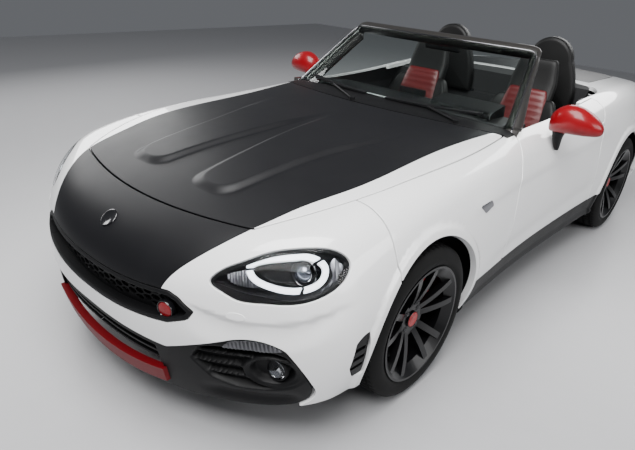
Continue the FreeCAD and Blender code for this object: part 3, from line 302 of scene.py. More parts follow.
def base_mesh():
    """Triangles over the left half of the outer form: rays from the middle line, fanned at both ends."""
    angles = np.radians(RAY_ANGLES)
    columns = []
    (y0, z0), (y1, z1) = FAN_FRONT, FAN_REAR
    for phi in np.radians(FAN_ANGLES[::-1]):
        columns.append((y0, z0, phi, -1))
    for y in np.linspace(y0, y1, MIDDLE_COLUMNS):
        columns.append((y, z0 + (z1 - z0) * (y - y0) / (y1 - y0), 0.0, 1))
    for phi in np.radians(FAN_ANGLES):
        columns.append((y1, z1, phi, 1))
    origins, ways = [], []
    for y, z, phi, sign in columns:
        across, ahead = math.cos(phi), sign * math.sin(phi)
        origins += [(0, y, z)] * len(angles)
        ways += [(math.cos(theta) * across, ahead, math.sin(theta) * across) for theta in angles]
    ways = np.array(ways)
    # Fanned rays keep their slope, so that the top line stays on the middle plane
    ways[np.abs(ways[:, 0]) < 1e-9, 0] = 0
    points = cast(np.array(origins, float), ways)
    n = len(angles)
    a = np.arange(len(columns) - 1)[:, None] * n + np.arange(n - 1)[None, :]
    a = a.ravel()
    quads = np.stack([a, a + n, a + n + 1, a + 1], 1)
    faces = np.concatenate([quads[:, [0, 1, 2]], quads[:, [0, 2, 3]]])
    return used(points, faces[points[faces][:, :, 2].min(1) > LOWEST_Z])


def edges_of(faces):
    """Unique edges, and the edge numbers of each face's sides."""
    sides = np.sort(faces[:, [[0, 1], [1, 2], [2, 0]]].reshape(-1, 2), axis=1)
    edges, index = np.unique(sides, axis=0, return_inverse=True)
    return edges, index.reshape(-1, 3)


def split(points, faces, edges, index, marked, share):
    """Splits the marked edges at their share of the way and the faces beside them."""
    number = np.full(len(edges), -1)
    number[marked] = len(points) + np.arange(marked.sum())
    a, b = edges[marked].T
    t = share[marked][:, None]
    points = np.concatenate([points, points[a] * (1 - t) + points[b] * t])
    cut = number[index]
    count = (cut >= 0).sum(1)
    out = [faces[count == 0]]
    for k in (1, 2, 3):
        rows = count == k
        f, c = faces[rows], cut[rows]
        if not len(f):
            continue
        if k == 1:
            turn = np.argmax(c >= 0, axis=1)
        elif k == 2:
            turn = (np.argmin(c >= 0, axis=1) + 1) % 3
        else:
            turn = np.zeros(len(f), int)
        order = (turn[:, None] + np.arange(3)) % 3
        f = np.take_along_axis(f, order, 1)
        c = np.take_along_axis(c, order, 1)
        v0, v1, v2 = f.T
        m0, m1, m2 = c.T
        if k == 1:
            new = [(v0, m0, v2), (m0, v1, v2)]
        elif k == 2:
            new = [(m0, v1, m1), (v0, m0, m1), (v0, m1, v2)]
        else:
            new = [(v0, m0, m2), (m0, v1, m1), (m2, m1, v2), (m0, m1, m2)]
        out += [np.stack(t, 1) for t in new]
    return points, np.concatenate(out)


def settle(points):
    """The points moved onto the outer form."""
    for _ in range(2):
        points = points - normals_of(points) * depth_of(points)[:, None]
    return points


def used(points, faces):
    """The mesh without the points that no face uses."""
    keep, index = np.unique(faces, return_inverse=True)
    return points[keep], index.reshape(-1, 3)


def refine(points, faces, near, size):
    """Halves the longer edges close to a boundary function's zero line."""
    edges, index = edges_of(faces)
    value = np.abs(near(points))
    length = np.linalg.norm(points[edges[:, 0]] - points[edges[:, 1]], axis=1)
    marked = (value[edges].min(1) < length * 1.2) & (length > size)
    if not marked.any():
        return points, faces
    start = len(points)
    middle = abs(points[edges[:, 0], 0]) + abs(points[edges[:, 1], 0]) < 1e-6
    on_middle = middle[marked]
    points, faces = split(points, faces, edges, index, marked, np.full(len(edges), 0.5))
    new = settle(points[start:])
    new[on_middle, 0] = 0
    points[start:] = new
    return points, faces


def trim(points, faces, inside, both=False):
    """Cuts the mesh along inside = 0 and keeps the part above 0, or both parts."""
    value = inside(points)
    edges, index = edges_of(faces)
    length = np.linalg.norm(points[edges[:, 0]] - points[edges[:, 1]], axis=1).mean()
    value = np.where(np.abs(value) < 0.04 * length, 0.0, value)
    a, b = value[edges].T
    marked = a * b < 0
    share = np.where(marked, a / np.where(marked, a - b, 1), 0)
    start = len(points)
    points, faces = split(points, faces, edges, index, marked, share)
    value = np.concatenate([value, np.zeros(len(points) - start)])
    if both:
        return points, faces
    return used(points, faces[value[faces].sum(1) > 0])


def outline(points, soft=6.0, step=6.0):
    """A closed line of small steps through the points and arcs, its corners rounded by about soft."""
    line = [np.array(points[0][:2], float)]
    for p, q in zip(points[:-1], points[1:]):
        p0, p1 = np.array(p[:2], float), np.array(q[:2], float)
        if len(q) == 4:
            line += arc(p0, np.array(q[2:], float), p1)
        else:
            line.append(p1)
    return resample(np.array(line), soft, step)


def arc(start, via, end, count=24):
    """Points along the arc through three points, without its start."""
    (ax, ay), (bx, by), (cx, cy) = start, via, end
    d = 2 * (ax * (by - cy) + bx * (cy - ay) + cx * (ay - by))
    a2, b2, c2 = ax * ax + ay * ay, bx * bx + by * by, cx * cx + cy * cy
    centre = np.array(
        [
            (a2 * (by - cy) + b2 * (cy - ay) + c2 * (ay - by)) / d,
            (a2 * (cx - bx) + b2 * (ax - cx) + c2 * (bx - ax)) / d,
        ]
    )
    angle = [math.atan2(*(q - centre)[::-1]) for q in (start, via, end)]
    turn = (angle[2] - angle[0]) % (2 * math.pi)
    if (angle[1] - angle[0]) % (2 * math.pi) > turn:
        turn -= 2 * math.pi
    radius = np.linalg.norm(start - centre)
    steps = angle[0] + turn * np.arange(1, count + 1) / count
    return [centre + radius * np.array([math.cos(t), math.sin(t)]) for t in steps]


def resample(line, soft, step):
    """A closed line in even steps, smoothed over about soft."""
    if np.linalg.norm(line[0] - line[-1]) > 1e-6:
        line = np.concatenate([line, line[:1]])
    along = lengths(line)
    count = max(12, int(along[-1] / step))
    at = np.arange(count) * along[-1] / count
    out = np.stack([np.interp(at, along, line[:, i]) for i in range(line.shape[1])], 1)
    reach = soft / (along[-1] / count)
    if reach > 0.2:
        n = int(3 * reach) + 1
        weights = np.exp(-0.5 * (np.arange(-n, n + 1) / reach) ** 2)
        weights /= weights.sum()
        out = sum(w * np.roll(out, k, axis=0) for w, k in zip(weights, range(-n, n + 1)))
    return out


NEARBY = 60.0


def inside_loop(line, p):
    """Signed distance of plane points to a closed line, above 0 inside and -NEARBY far outside."""
    a, b = line, np.roll(line, -1, axis=0)
    out = np.full(len(p), -NEARBY)
    rows = np.flatnonzero(((p > line.min(0) - NEARBY) & (p < line.max(0) + NEARBY)).all(1))
    for start in range(0, len(rows), 4000):
        part = rows[start : start + 4000]
        q = p[part]
        pa = q[:, None, :] - a[None]
        ba = (b - a)[None]
        t = np.clip((pa * ba).sum(2) / (ba * ba).sum(2), 0, 1)
        d = np.sqrt(((pa - ba * t[..., None]) ** 2).sum(2)).min(1)
        above = (a[None, :, 1] > q[:, None, 1]) != (b[None, :, 1] > q[:, None, 1])
        height = np.where(above, b[None, :, 1] - a[None, :, 1], 1)
        cross = a[None, :, 0] + (q[:, None, 1] - a[None, :, 1]) * (b - a)[None, :, 0] / height
        odd = (above & (q[:, None, 0] < cross)).sum(1) % 2
        out[part] = np.where(odd == 1, d, -np.minimum(d, NEARBY))
    return out


VIEWS = {"top": (0, 1), "side": (1, 2), "front": (0, 2)}
FAR = 999.0
LAMP_REACH = 400


def zone_of(line, flat, reach):
    """Boundary function of a plane line: flat gives points their place in its plane, where reach holds."""

    def inside(p):
        value = np.full(len(p), -FAR)
        rows = reach(p)
        value[rows] = inside_loop(line, flat(p[rows]))
        return value

    return inside


def region(points, view, reach, soft=6.0, step=8.0):
    """Boundary function of an outline seen from the top, side or front, only where reach holds."""
    pair = VIEWS[view]
    return zone_of(outline(points, soft, step), lambda p: p[:, pair], reach)


def smooth_line(points, step=6.0, closed=False):
    """A smooth line through space points."""
    points = np.array(points, float)
    if closed:
        points = np.concatenate([points[-3:], points, points[:3]])
    along = lengths(points)
    low, high = (along[3], along[-3]) if closed else (along[0], along[-1])
    at = np.linspace(low, high, max(3, int((high - low) / step)))
    if closed:
        at = at[:-1]
    return np.stack([spline(np.stack([along, points[:, i]], 1))(at) for i in range(3)], 1)


def facing(points, way, soft=3.0, step=4.0):
    """Boundary function of a space outline seen along a way."""
    way = np.array(way, float) / np.linalg.norm(way)
    across = np.cross(way, (0, 0, 1))
    across /= np.linalg.norm(across)
    up = np.cross(across, way)
    axes = np.stack([across, up], 1)
    line = resample(smooth_line(points, closed=True) @ axes, soft, step)
    centre = np.array(points, float).mean(0)
    return zone_of(line, lambda p: p @ axes, lambda p: ((p - centre) ** 2).sum(1) < LAMP_REACH**2)


LAMP_WAY = (0.62, -0.72, 0.30)
LAMP_ZONE = facing(HEADLAMP, LAMP_WAY)
HOOD_ZONE = region(HOOD, "top", lambda p: p[:, 2] > 560)
COWL_ZONE = region(COWL, "top", lambda p: p[:, 2] > 700)
COCKPIT_ZONE = region(COCKPIT, "top", lambda p: p[:, 2] > 600)
TRUNK_TOP = region(TRUNK, "top", lambda p: (p[:, 2] > 600) & (p[:, 1] > 900))
DOOR_SIDE = region(DOOR, "side", lambda p: p[:, 0] > 300, soft=9)
GRILLE_ZONE = region(GRILLE, "front", lambda p: p[:, 1] < -1600, soft=3, step=5)
VALANCE_ZONE = region(VALANCE, "front", lambda p: p[:, 1] < -1500)
TAIL_LAMP_ZONE = region(TAIL_LAMP, "front", lambda p: p[:, 1] > 1650, soft=4, step=5)
DIFFUSER_ZONE = region(DIFFUSER, "front", lambda p: p[:, 1] > 1500)

# Openings and small parts of the skin
INTAKE = ((-330, 345), (-350, 262), (350, 262, 0, 232), (330, 345), (-330, 345))
LIP = ((-362, 262), (-362, 203), (362, 203, 0, 164), (362, 262), (-362, 262, 0, 228))
DUCT = (
    (492, 405), (640, 432, 560, 426), (744, 420, 700, 436), (772, 345, 764, 388), (738, 290, 764, 306),
    (600, 268, 680, 276), (528, 290), (462, 350), (492, 405),
)
GILL = ((-1543, 462), (-1598, 440, -1574, 456), (-1608, 345), (-1584, 299), (-1544, 299), (-1543, 462))
HANDLE = ((492, 762), (652, 768, 572, 760), (650, 786), (494, 784, 572, 782), (492, 762))
SIDE_LENS = ((-827, 681), (-728, 683), (-705, 655), (-780, 642), (-827, 681))
INTAKE_ZONE = region(INTAKE, "front", lambda p: p[:, 1] < -1700, soft=4, step=6)
LIP_ZONE = region(LIP, "front", lambda p: p[:, 1] < -1700, soft=2, step=6)
DUCT_ZONE = region(DUCT, "front", lambda p: p[:, 1] < -1500, soft=7, step=6)
GILL_ZONE = region(GILL, "side", lambda p: p[:, 0] > 780, soft=3, step=4)
HANDLE_ZONE = region(HANDLE, "side", lambda p: p[:, 0] > 600, soft=4, step=4)
SIDE_LENS_ZONE = region(SIDE_LENS, "side", lambda p: p[:, 0] > 600, soft=5, step=4)
# Parts of the left headlamp on the body, as points x, y, z
RING_EDGE = (
    (578, -1809, 684), (619, -1756, 712), (672, -1705, 722), (723, -1661, 717), (756, -1652, 696),
    (769, -1672, 664), (756, -1714, 640), (713, -1758, 629), (651, -1803, 638), (602, -1822, 660),
)
RING_BREAKS = (
    ((570, -1825, 672), (617, -1784, 689)), ((720, -1690, 699), (745, -1620, 727)),
    ((741, -1755, 606), (736, -1730, 640)),
)
TURN_LENS = (
    (534, -1856, 653), (562, -1831, 668), (582, -1814, 675), (600, -1824, 656), (634, -1818, 634),
    (616, -1830, 630), (581, -1848, 630), (549, -1859, 639),
)
OUTER_FACET = (
    (762, -1640, 704), (765, -1594, 720), (784, -1587, 700), (796, -1597, 676), (799, -1635, 645),
    (787, -1681, 624), (770, -1706, 624), (784, -1666, 650), (776, -1642, 680),
)
LAMP_SHELF = (
    (500, -1900, 620), (588, -1854, 615), (655, -1816, 611), (734, -1756, 610), (790, -1690, 612),
    (790, -1725, 570), (694, -1801, 560), (600, -1853, 560), (520, -1885, 575),
)
RING_ZONE = facing(RING_EDGE, LAMP_WAY, soft=5)
TURN_ZONE = facing(TURN_LENS, LAMP_WAY, soft=4)
OUTER_ZONE = facing(OUTER_FACET, LAMP_WAY, soft=5)
SHELF_ZONE = facing(LAMP_SHELF, LAMP_WAY, soft=3)


def ring_band(p):
    """Boundary function of the headlamp's light ring."""
    return 9.5 - np.abs(RING_ZONE(p) - 4)


def slit(a, b, half):
    """Boundary function of a bar about the line from a to b."""
    a, b = np.array(a, float), np.array(b, float)

    def inside(p):
        t = np.clip(((p - a) @ (b - a)) / ((b - a) @ (b - a)), 0, 1)
        return half - np.linalg.norm(p - a - t[:, None] * (b - a), axis=1)

    return inside


def trunk_zone(p):
    """Boundary function of the boot lid, which ends above the rear bumper."""
    return np.minimum(TRUNK_TOP(p), p[:, 2] - TRUNK_LIP_Z)


def door_zone(p):
    """Boundary function of the left door's skin."""
    return np.minimum(DOOR_SIDE(p), p[:, 0] - DOOR_INNER_X)


# Lower end of the black paint, and its side edge
BLACK_BOTTOM_Z = 500.0
BLACK_EDGE_X = spline([(y, x) for x, y in BLACK_EDGE])


def black_zone(p):
    """Above 0 where nose and bonnet are matte black."""
    return np.minimum(BLACK_EDGE_X(p[:, 1]) - p[:, 0], p[:, 2] - BLACK_BOTTOM_Z)


def out_of(zone, clear):
    """Boundary function of all that lies outside a zone by more than clear."""
    return lambda p: -zone(p) - clear


def within(zone, clear):
    """Boundary function of a zone drawn in by clear, or widened if it is below 0."""
    return lambda p: zone(p) - clear


def arch(axle):
    """Boundary function of all that lies outside the wheel arch of an axle."""
    return lambda p: np.hypot(p[:, 1] - axle, p[:, 2] - AXLE_Z) - ARCH_RADIUS


def axis_above(axis, value):
    return lambda p: p[:, axis] - value


def axis_below(axis, value):
    return lambda p: value - p[:, axis]


def outline_of_panel(faces, points):
    """Boundary edges, directed as their faces run, without those on the middle plane."""
    sides = faces[:, [[0, 1], [1, 2], [2, 0]]].reshape(-1, 2)
    key = np.sort(sides, axis=1)
    _, index, count = np.unique(key, axis=0, return_inverse=True, return_counts=True)
    edge = sides[count[index.ravel()] == 1]
    middle = (np.abs(points[edge[:, 0], 0]) < 1e-4) & (np.abs(points[edge[:, 1], 0]) < 1e-4)
    return edge[~middle]


def rolled(points, faces, normals, depth, edge=EDGE):
    """Adds a rounded edge and a flange of the given depth round a panel."""
    rim = outline_of_panel(faces, points)
    out = np.zeros_like(points)
    way = points[rim[:, 1]] - points[rim[:, 0]]
    side = units(np.cross(way, normals[rim[:, 0]]))
    np.add.at(out, rim[:, 0], side)
    np.add.at(out, rim[:, 1], side)
    middle = np.abs(points[:, 0]) < 1e-4
    out[middle, 0] = 0
    out -= normals * (out * normals).sum(1)[:, None]
    out = units(out)
    keep = np.unique(rim)
    number = np.full(len(points), -1)
    all_points, all_normals, all_faces = [points], [normals], [faces]
    before = np.arange(len(points))
    total = len(points)
    n, o = normals[keep], out[keep]
    for angle, drop in ((45, 0), (90, 0), (90, depth)):
        c, s = math.cos(math.radians(angle)), math.sin(math.radians(angle))
        ring = points[keep] + o * edge * s - n * (edge * (1 - c) + drop)
        number = number.copy()
        number[keep] = total + np.arange(len(keep))
        all_points.append(ring)
        all_normals.append(n * c + o * s)
        a, b = rim.T
        all_faces.append(np.stack([before[a], number[a], number[b]], 1))
        all_faces.append(np.stack([before[a], number[b], before[b]], 1))
        total += len(keep)
        before = number
    return np.concatenate(all_points), np.concatenate(all_faces), np.concatenate(all_normals), before


def mirrored(points, faces, normals, marks):
    """The panel with its mirror image, welded on the middle plane."""
    flip = np.array([-1.0, 1.0, 1.0])
    middle = np.abs(points[:, 0]) < 1e-3
    number = np.arange(len(points)) + len(points)
    number[middle] = np.arange(len(points))[middle]
    points[middle, 0] = 0
    normals[middle, 0] = 0
    out_points = np.concatenate([points, points * flip])
    out_faces = np.concatenate([faces, number[faces][:, ::-1]])
    return out_points, out_faces, np.concatenate([normals, normals * flip]), np.concatenate(
        [marks, marks]
    )


def make_object(name, points, faces, mats, marks=None, normals=None, smooth=True):
    """A mesh object from millimetre points."""
    mesh = bpy.data.meshes.new(name)
    mesh.from_pydata((np.asarray(points) * MM).tolist(), [], [tuple(map(int, f)) for f in faces])
    for m in mats:
        mesh.materials.append(m)
    mesh.polygons.foreach_set("use_smooth", [smooth] * len(mesh.polygons))
    if marks is not None:
        mesh.polygons.foreach_set("material_index", np.asarray(marks, np.int32))
    mesh.update()
    if normals is not None:
        mesh.normals_split_custom_set_from_vertices([tuple(n) for n in normals])
    o = bpy.data.objects.new(name, mesh)
    bpy.context.scene.collection.objects.link(o)
    return o


def unit(v):
    """A vector scaled to length 1."""
    v = np.array(v, float)
    return v / np.linalg.norm(v)


def frame_of(way):
    """Two directions square to a way."""
    way = unit(way)
    side = unit(np.cross(way, (0, 0, 1) if abs(way[2]) < 0.9 else (1, 0, 0)))
    return side, np.cross(way, side)


def lathe(rows, start, way, count=36):
    """A turned form: rows of distance along the way and radius, about a line from start."""
    way = unit(way)
    side, up = frame_of(way)
    angle = turns(count)
    ring = np.cos(angle)[:, None] * side + np.sin(angle)[:, None] * up
    rows = np.array(rows, float)
    points = np.array(start, float) + rows[:, None, :1] * way + rows[:, None, 1:] * ring[None]
    return points.reshape(-1, 3), grid_faces(len(rows), count, True)


def grid_faces(rows, count, closed):
    """Quads over rows of points, joined round each row if closed."""
    i = np.arange(rows - 1)[:, None] * count
    j = np.arange(count if closed else count - 1)[None, :]
    k = (j + 1) % count
    return np.stack(
        [(i + j).ravel(), (i + k).ravel(), (i + k + count).ravel(), (i + j + count).ravel()], 1
    )


def tube(line, radius, count=10, closed=False):
    """A round bar along a line of points."""
    line = np.array(line, float)
    radius = np.broadcast_to(np.array(radius, float), len(line))
    if closed:
        way = np.roll(line, -1, axis=0) - np.roll(line, 1, axis=0)
    else:
        way = np.gradient(line, axis=0)
    way = units(way)
    side, _ = frame_of(way[0])
    rings = []
    angle = turns(count)
    for p, w, r in zip(line, way, radius):
        side = unit(side - w * (side @ w))
        up = np.cross(w, side)
        rings.append(p + r * (np.cos(angle)[:, None] * side + np.sin(angle)[:, None] * up))
    points = np.concatenate(rings)
    faces = grid_faces(len(line), count, True)
    if closed:
        last = (len(line) - 1) * count
        j = np.arange(count)
        k = (j + 1) % count
        faces = np.concatenate([faces, np.stack([last + j, last + k, k, j], 1)])
        return points, faces
    ends = len(points)
    points = np.concatenate([points, line[[0, -1]]])
    j = np.arange(count)
    k = (j + 1) % count
    last = (len(line) - 1) * count
    caps = [(ends, b, a) for a, b in zip(j, k)] + [(ends + 1, last + a, last + b) for a, b in zip(j, k)]
    return points, list(map(tuple, faces)) + caps


def block(low, high, soft=4.0, turn=None, about=None):
    """A box with rounded edges, turned by a rotation matrix about a point."""
    low, high = np.array(low, float), np.array(high, float)
    mesh = bmesh.new()
    bmesh.ops.create_cube(mesh, size=1.0)
    for v in mesh.verts:
        v.co = Vector((low + high) / 2 + np.array(v.co) * (high - low))
    bmesh.ops.bevel(mesh, geom=list(mesh.edges), offset=soft, segments=3, affect="EDGES", profile=0.5)
    mesh.verts.index_update()
    points = np.array([v.co[:] for v in mesh.verts])
    faces = [tuple(v.index for v in f.verts) for f in mesh.faces]
    mesh.free()
    if turn is not None:
        about = (low + high) / 2 if about is None else np.array(about, float)
        points = (points - about) @ np.array(turn, float).T + about
    return points, faces


def joined(*parts):
    """Several meshes as one, with the number of the part each face comes from."""
    points, faces, marks, start = [], [], [], 0
    for number, (p, f) in enumerate(parts):
        points.append(np.asarray(p))
        faces += [tuple(int(v) + start for v in face) for face in f]
        marks += [number] * len(f)
        start += len(p)
    return np.concatenate(points), faces, marks


def both_sides(points, faces, marks=()):
    """The mesh with its mirror image in x."""
    n = len(points)
    flipped = [tuple(int(v) + n for v in reversed(face)) for face in faces]
    return np.concatenate([points, points * (-1, 1, 1)]), list(map(tuple, faces)) + flipped, list(marks) * 2


def piece(name, body, parts, mats, pick=None, sharp=38.0, double=False, replaces=()):
    """An object from mesh parts: pick gives each part's finish number."""
    points, faces, marks = joined(*parts)
    marks = [pick[m] for m in marks] if pick else [0] * len(marks)
    if double:
        points, faces, marks = both_sides(points, faces, marks)
    o = make_object(name, points, faces, mats, marks)
    o.data.set_sharp_from_angle(angle=math.radians(sharp))
    return finish_piece(o, body, replaces)


BASE = base_mesh()


def panel_mesh(limits, colour=None, size=8.0, focus=()):
    """Left half of a panel: the outer form trimmed by boundary functions, its colour line cut in."""
    points, faces = BASE
    for limit in limits:
        value = limit(points)
        keep = value[faces].max(1) > -40
        points, faces = used(points, faces[keep])
    for zone, fine in focus:
        for _ in range(3):
            points, faces = refine(points, faces, lambda p: np.maximum(-zone(p), 0), fine)
    for limit in limits:
        for _ in range(2):
            points, faces = refine(points, faces, limit, size)
        points, faces = trim(points, faces, limit)
    if colour is not None:
        for _ in range(2):
            points, faces = refine(points, faces, colour, size)
        points, faces = trim(points, faces, colour, both=True)
    return points, faces


def mesh_normals(points, faces):
    """Normals of the points from the faces about them."""
    a, b, c = points[faces].transpose(1, 0, 2)
    across = np.cross(b - a, c - a)
    out = np.zeros_like(points)
    for i in range(3):
        np.add.at(out, faces[:, i], across)
    return units(out)


def panel(
    name,
    body,
    limits,
    mats,
    colour=None,
    depth=12.0,
    inner=0.0,
    whole=True,
    replaces=(),
    sink=0.0,
    size=8.0,
    focus=(),
    edge=EDGE,
):
    """A body panel with rounded edges and a flange, and an inner skin if inner is above 0.

    sink moves it in from the outer form, by a number or by a function of its points.
    """
    limits = [within(f, edge) for f in limits]
    points, faces = panel_mesh(limits, colour, size, focus)
    if colour is None:
        marks = np.zeros(len(faces), int)
    else:
        marks = (colour(points[faces].mean(1)) > 0).astype(int)
    normals = normals_of(points)
    middle = np.abs(points[:, 0]) < 1e-4
    normals[middle, 0] = 0
    if callable(sink):
        points = points - normals * sink(points)[:, None]
        normals = mesh_normals(points, faces)
        normals[middle, 0] = 0
    else:
        points = points - normals * sink
    if inner:
        skin, skin_faces = points - normals * inner, faces[:, ::-1]
    outer_points, outer_faces, outer_normals, last = rolled(points, faces, normals, depth, edge)
    edge_marks = np.zeros(len(outer_faces) - len(faces), int)
    if colour is not None:
        edge_marks = (colour(outer_points[outer_faces[len(faces) :]].mean(1)) > 0).astype(int)
    marks = np.concatenate([marks, edge_marks])
    points, faces, normals = outer_points, outer_faces, outer_normals
    if inner:
        start = len(points)
        points = np.concatenate([points, skin])
        normals = np.concatenate([normals, -normals[: len(skin)]])
        faces = np.concatenate([faces, skin_faces + start])
        marks = np.concatenate([marks, np.full(len(skin_faces), len(mats) - 1)])
    if whole:
        points, faces, normals, marks = mirrored(points, faces, normals, marks)
    o = make_object(name, points, faces, mats, marks, normals)
    finish_piece(o, body, replaces)
    return o


def finish_piece(o, body, replaces=()):
    """Puts an object on its body, in place of the CAD nodes that it stands for."""
    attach(o, body)
    if replaces:
        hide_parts(*replaces)
    return o


def mirror_copy(o, name, body, replaces=()):
    """The other side's copy of a left piece."""
    mesh = o.data.copy()
    n = len(mesh.vertices)
    co = np.empty(n * 3)
    mesh.vertices.foreach_get("co", co)
    co = co.reshape(-1, 3) * (-1, 1, 1)
    loops = np.empty(len(mesh.loops) * 3)
    mesh.corner_normals.foreach_get("vector", loops)
    vertex = np.empty(len(mesh.loops), np.int32)
    mesh.loops.foreach_get("vertex_index", vertex)
    normal = np.zeros((n, 3))
    normal[vertex] = loops.reshape(-1, 3) * (-1, 1, 1)
    faces = [tuple(reversed(p.vertices)) for p in mesh.polygons]
    marks = [p.material_index for p in mesh.polygons]
    smooth = all(p.use_smooth for p in mesh.polygons)
    out = make_object(
        name, co / MM, faces, list(mesh.materials), marks, normal if smooth else None, smooth
    )
    bpy.data.meshes.remove(mesh)
    return finish_piece(out, body, replaces)


# Materials


def socket(shader, name, value):
    """Sets a shader's value where the shader has it."""
    if name in shader.inputs:
        shader.inputs[name].default_value = value


def material(
    name, colour, rough=0.5, metal=0.0, coat=0.0, grain=0.0, scale=400.0, vary=0.06, shine=0.5, more=()
):
    """A procedural finish: a little noise in colour and roughness, and a fine grain in the surface."""
    m = bpy.data.materials.new(name)
    m.use_nodes = True
    nodes, links = m.node_tree.nodes, m.node_tree.links
    shader = nodes["Principled BSDF"]
    place = nodes.new("ShaderNodeTexCoord")
    noise = nodes.new("ShaderNodeTexNoise")
    noise.inputs["Scale"].default_value = 9.0
    noise.inputs["Detail"].default_value = 4.0
    links.new(place.outputs["Object"], noise.inputs["Vector"])
    tint = nodes.new("ShaderNodeMix")
    tint.data_type = "RGBA"
    dark = [c * (1 - vary) for c in colour] + [1.0]
    light = [min(1.0, c * (1 + vary)) for c in colour] + [1.0]
    tint.inputs[6].default_value = dark
    tint.inputs[7].default_value = light
    links.new(noise.outputs["Fac"], tint.inputs[0])
    links.new(tint.outputs[2], shader.inputs["Base Color"])
    spread = nodes.new("ShaderNodeMapRange")
    spread.inputs["To Min"].default_value = max(0.0, rough * 0.9)
    spread.inputs["To Max"].default_value = min(1.0, rough * 1.1)
    links.new(noise.outputs["Fac"], spread.inputs["Value"])
    links.new(spread.outputs["Result"], shader.inputs["Roughness"])
    if grain:
        fine = nodes.new("ShaderNodeTexNoise")
        fine.inputs["Scale"].default_value = scale
        fine.inputs["Detail"].default_value = 3.0
        bump = nodes.new("ShaderNodeBump")
        bump.inputs["Strength"].default_value = grain
        bump.inputs["Distance"].default_value = 0.0006
        links.new(place.outputs["Object"], fine.inputs["Vector"])
        links.new(fine.outputs["Fac"], bump.inputs["Height"])
        links.new(bump.outputs["Normal"], shader.inputs["Normal"])
    socket(shader, "Metallic", metal)
    socket(shader, "Coat Weight", coat)
    socket(shader, "Coat Roughness", 0.03)
    socket(shader, "Specular IOR Level", shine)
    for key, value in more:
        socket(shader, key, value)
    return m


CLEAR = (("Transmission Weight", 1.0), ("IOR", 1.14))
GLOW = (("Emission Color", (0.9, 0.95, 1.0, 1.0)), ("Emission Strength", 2.4))
WHITE = material("white_paint", (0.86, 0.86, 0.86), 0.30, coat=1.0, vary=0.01)
BLACK = material("matte_black_paint", (0.005, 0.005, 0.006), 0.42, grain=0.05, scale=900, shine=0.3)
RED = material("red_paint", (0.21, 0.001, 0.005), 0.32, coat=0.25, vary=0.03, shine=0.3)
PLASTIC = material("black_plastic", (0.004, 0.004, 0.0045), 0.5, grain=0.35, scale=700, shine=0.2)
GLOSS = material("gloss_black", (0.006, 0.006, 0.007), 0.16, coat=0.6)
GREY = material("gunmetal_frame", (0.030, 0.028, 0.026), 0.35, metal=0.4, coat=0.3)
TRIM = material("structure_trim", (0.010, 0.010, 0.011), 0.75, grain=0.5, scale=500)
DASH = material("dash_skin", (0.008, 0.008, 0.009), 0.55, grain=0.5, scale=260, shine=0.3)
LEATHER = material("seat_leather", (0.005, 0.005, 0.005), 0.5, grain=0.6, scale=220, shine=0.25)
RED_LEATHER = material("red_leather", (0.09, 0.002, 0.003), 0.42, grain=0.6, scale=220)
FABRIC = material("roof_fabric", (0.013, 0.013, 0.014), 0.9, grain=0.8, scale=900)
RUBBER = material("tyre_rubber", (0.006, 0.006, 0.006), 0.7, grain=0.25, scale=500, shine=0.15)
WHEEL = material("wheel_black", (0.003, 0.003, 0.0035), 0.3, coat=0.1, shine=0.25)
STEEL = material("brake_steel", (0.42, 0.41, 0.40), 0.28, metal=1.0, grain=0.12, scale=900)
CALIPER = material("caliper_red", (0.30, 0.002, 0.004), 0.35, coat=0.25)
CAST = material("cast_steel", (0.10, 0.10, 0.105), 0.55, metal=0.8, grain=0.4, scale=300)
ALLOY = material("engine_alloy", (0.25, 0.25, 0.25), 0.5, metal=0.9, grain=0.4, scale=200)
CORE = material("core_alloy", (0.12, 0.12, 0.12), 0.5, metal=0.8, grain=0.5, scale=300)
CHROME = material("chrome", (0.75, 0.75, 0.76), 0.06, metal=1.0)
PIPE = material("exhaust_steel", (0.45, 0.44, 0.42), 0.22, metal=1.0)
MIRROR = material("mirror_glass", (0.85, 0.86, 0.88), 0.02, metal=1.0, vary=0.0)
GLASS = material("screen_glass", (0.70, 0.76, 0.74), 0.02, vary=0.0, more=CLEAR)
LENS = material("lamp_lens", (0.97, 0.98, 1.0), 0.02, vary=0.0, more=CLEAR)
TAIL_LENS = material("tail_lens", (0.45, 0.004, 0.006), 0.08, coat=1.0, vary=0.03)
LAMP_BLACK = material("lamp_black", (0.003, 0.003, 0.0035), 0.6, shine=0.2)
LAMP_SILVER = material("lamp_silver", (0.16, 0.16, 0.17), 0.3, metal=1.0)
LIP_RED = material("lip_red", (0.13, 0.001, 0.004), 0.5, shine=0.3)
SEAL = material("rubber_seal", (0.006, 0.006, 0.006), 0.6)
CHROME_DARK = material("dark_chrome", (0.22, 0.22, 0.23), 0.18, metal=1.0)
SCREEN_BLACK = material("display_glass", (0.004, 0.004, 0.006), 0.08, coat=1.0)
RED_LENS = material("red_lens", (0.85, 0.05, 0.04), 0.03, vary=0.0, more=CLEAR)
PLATE_WHITE = material("blank_plate", (0.62, 0.62, 0.60), 0.4)
LENS_BALL = material("projector_lens", (0.20, 0.22, 0.26), 0.05, metal=0.7, coat=1.0, vary=0.0)
LENS_FACET = material("clear_facets", (0.26, 0.26, 0.28), 0.16, metal=0.85, coat=0.5, vary=0.02)
LIGHT = material("led_white", (0.9, 0.92, 0.95), 0.3, more=GLOW)
REFLECTOR = material("reflector", (0.65, 0.66, 0.68), 0.15, metal=1.0)

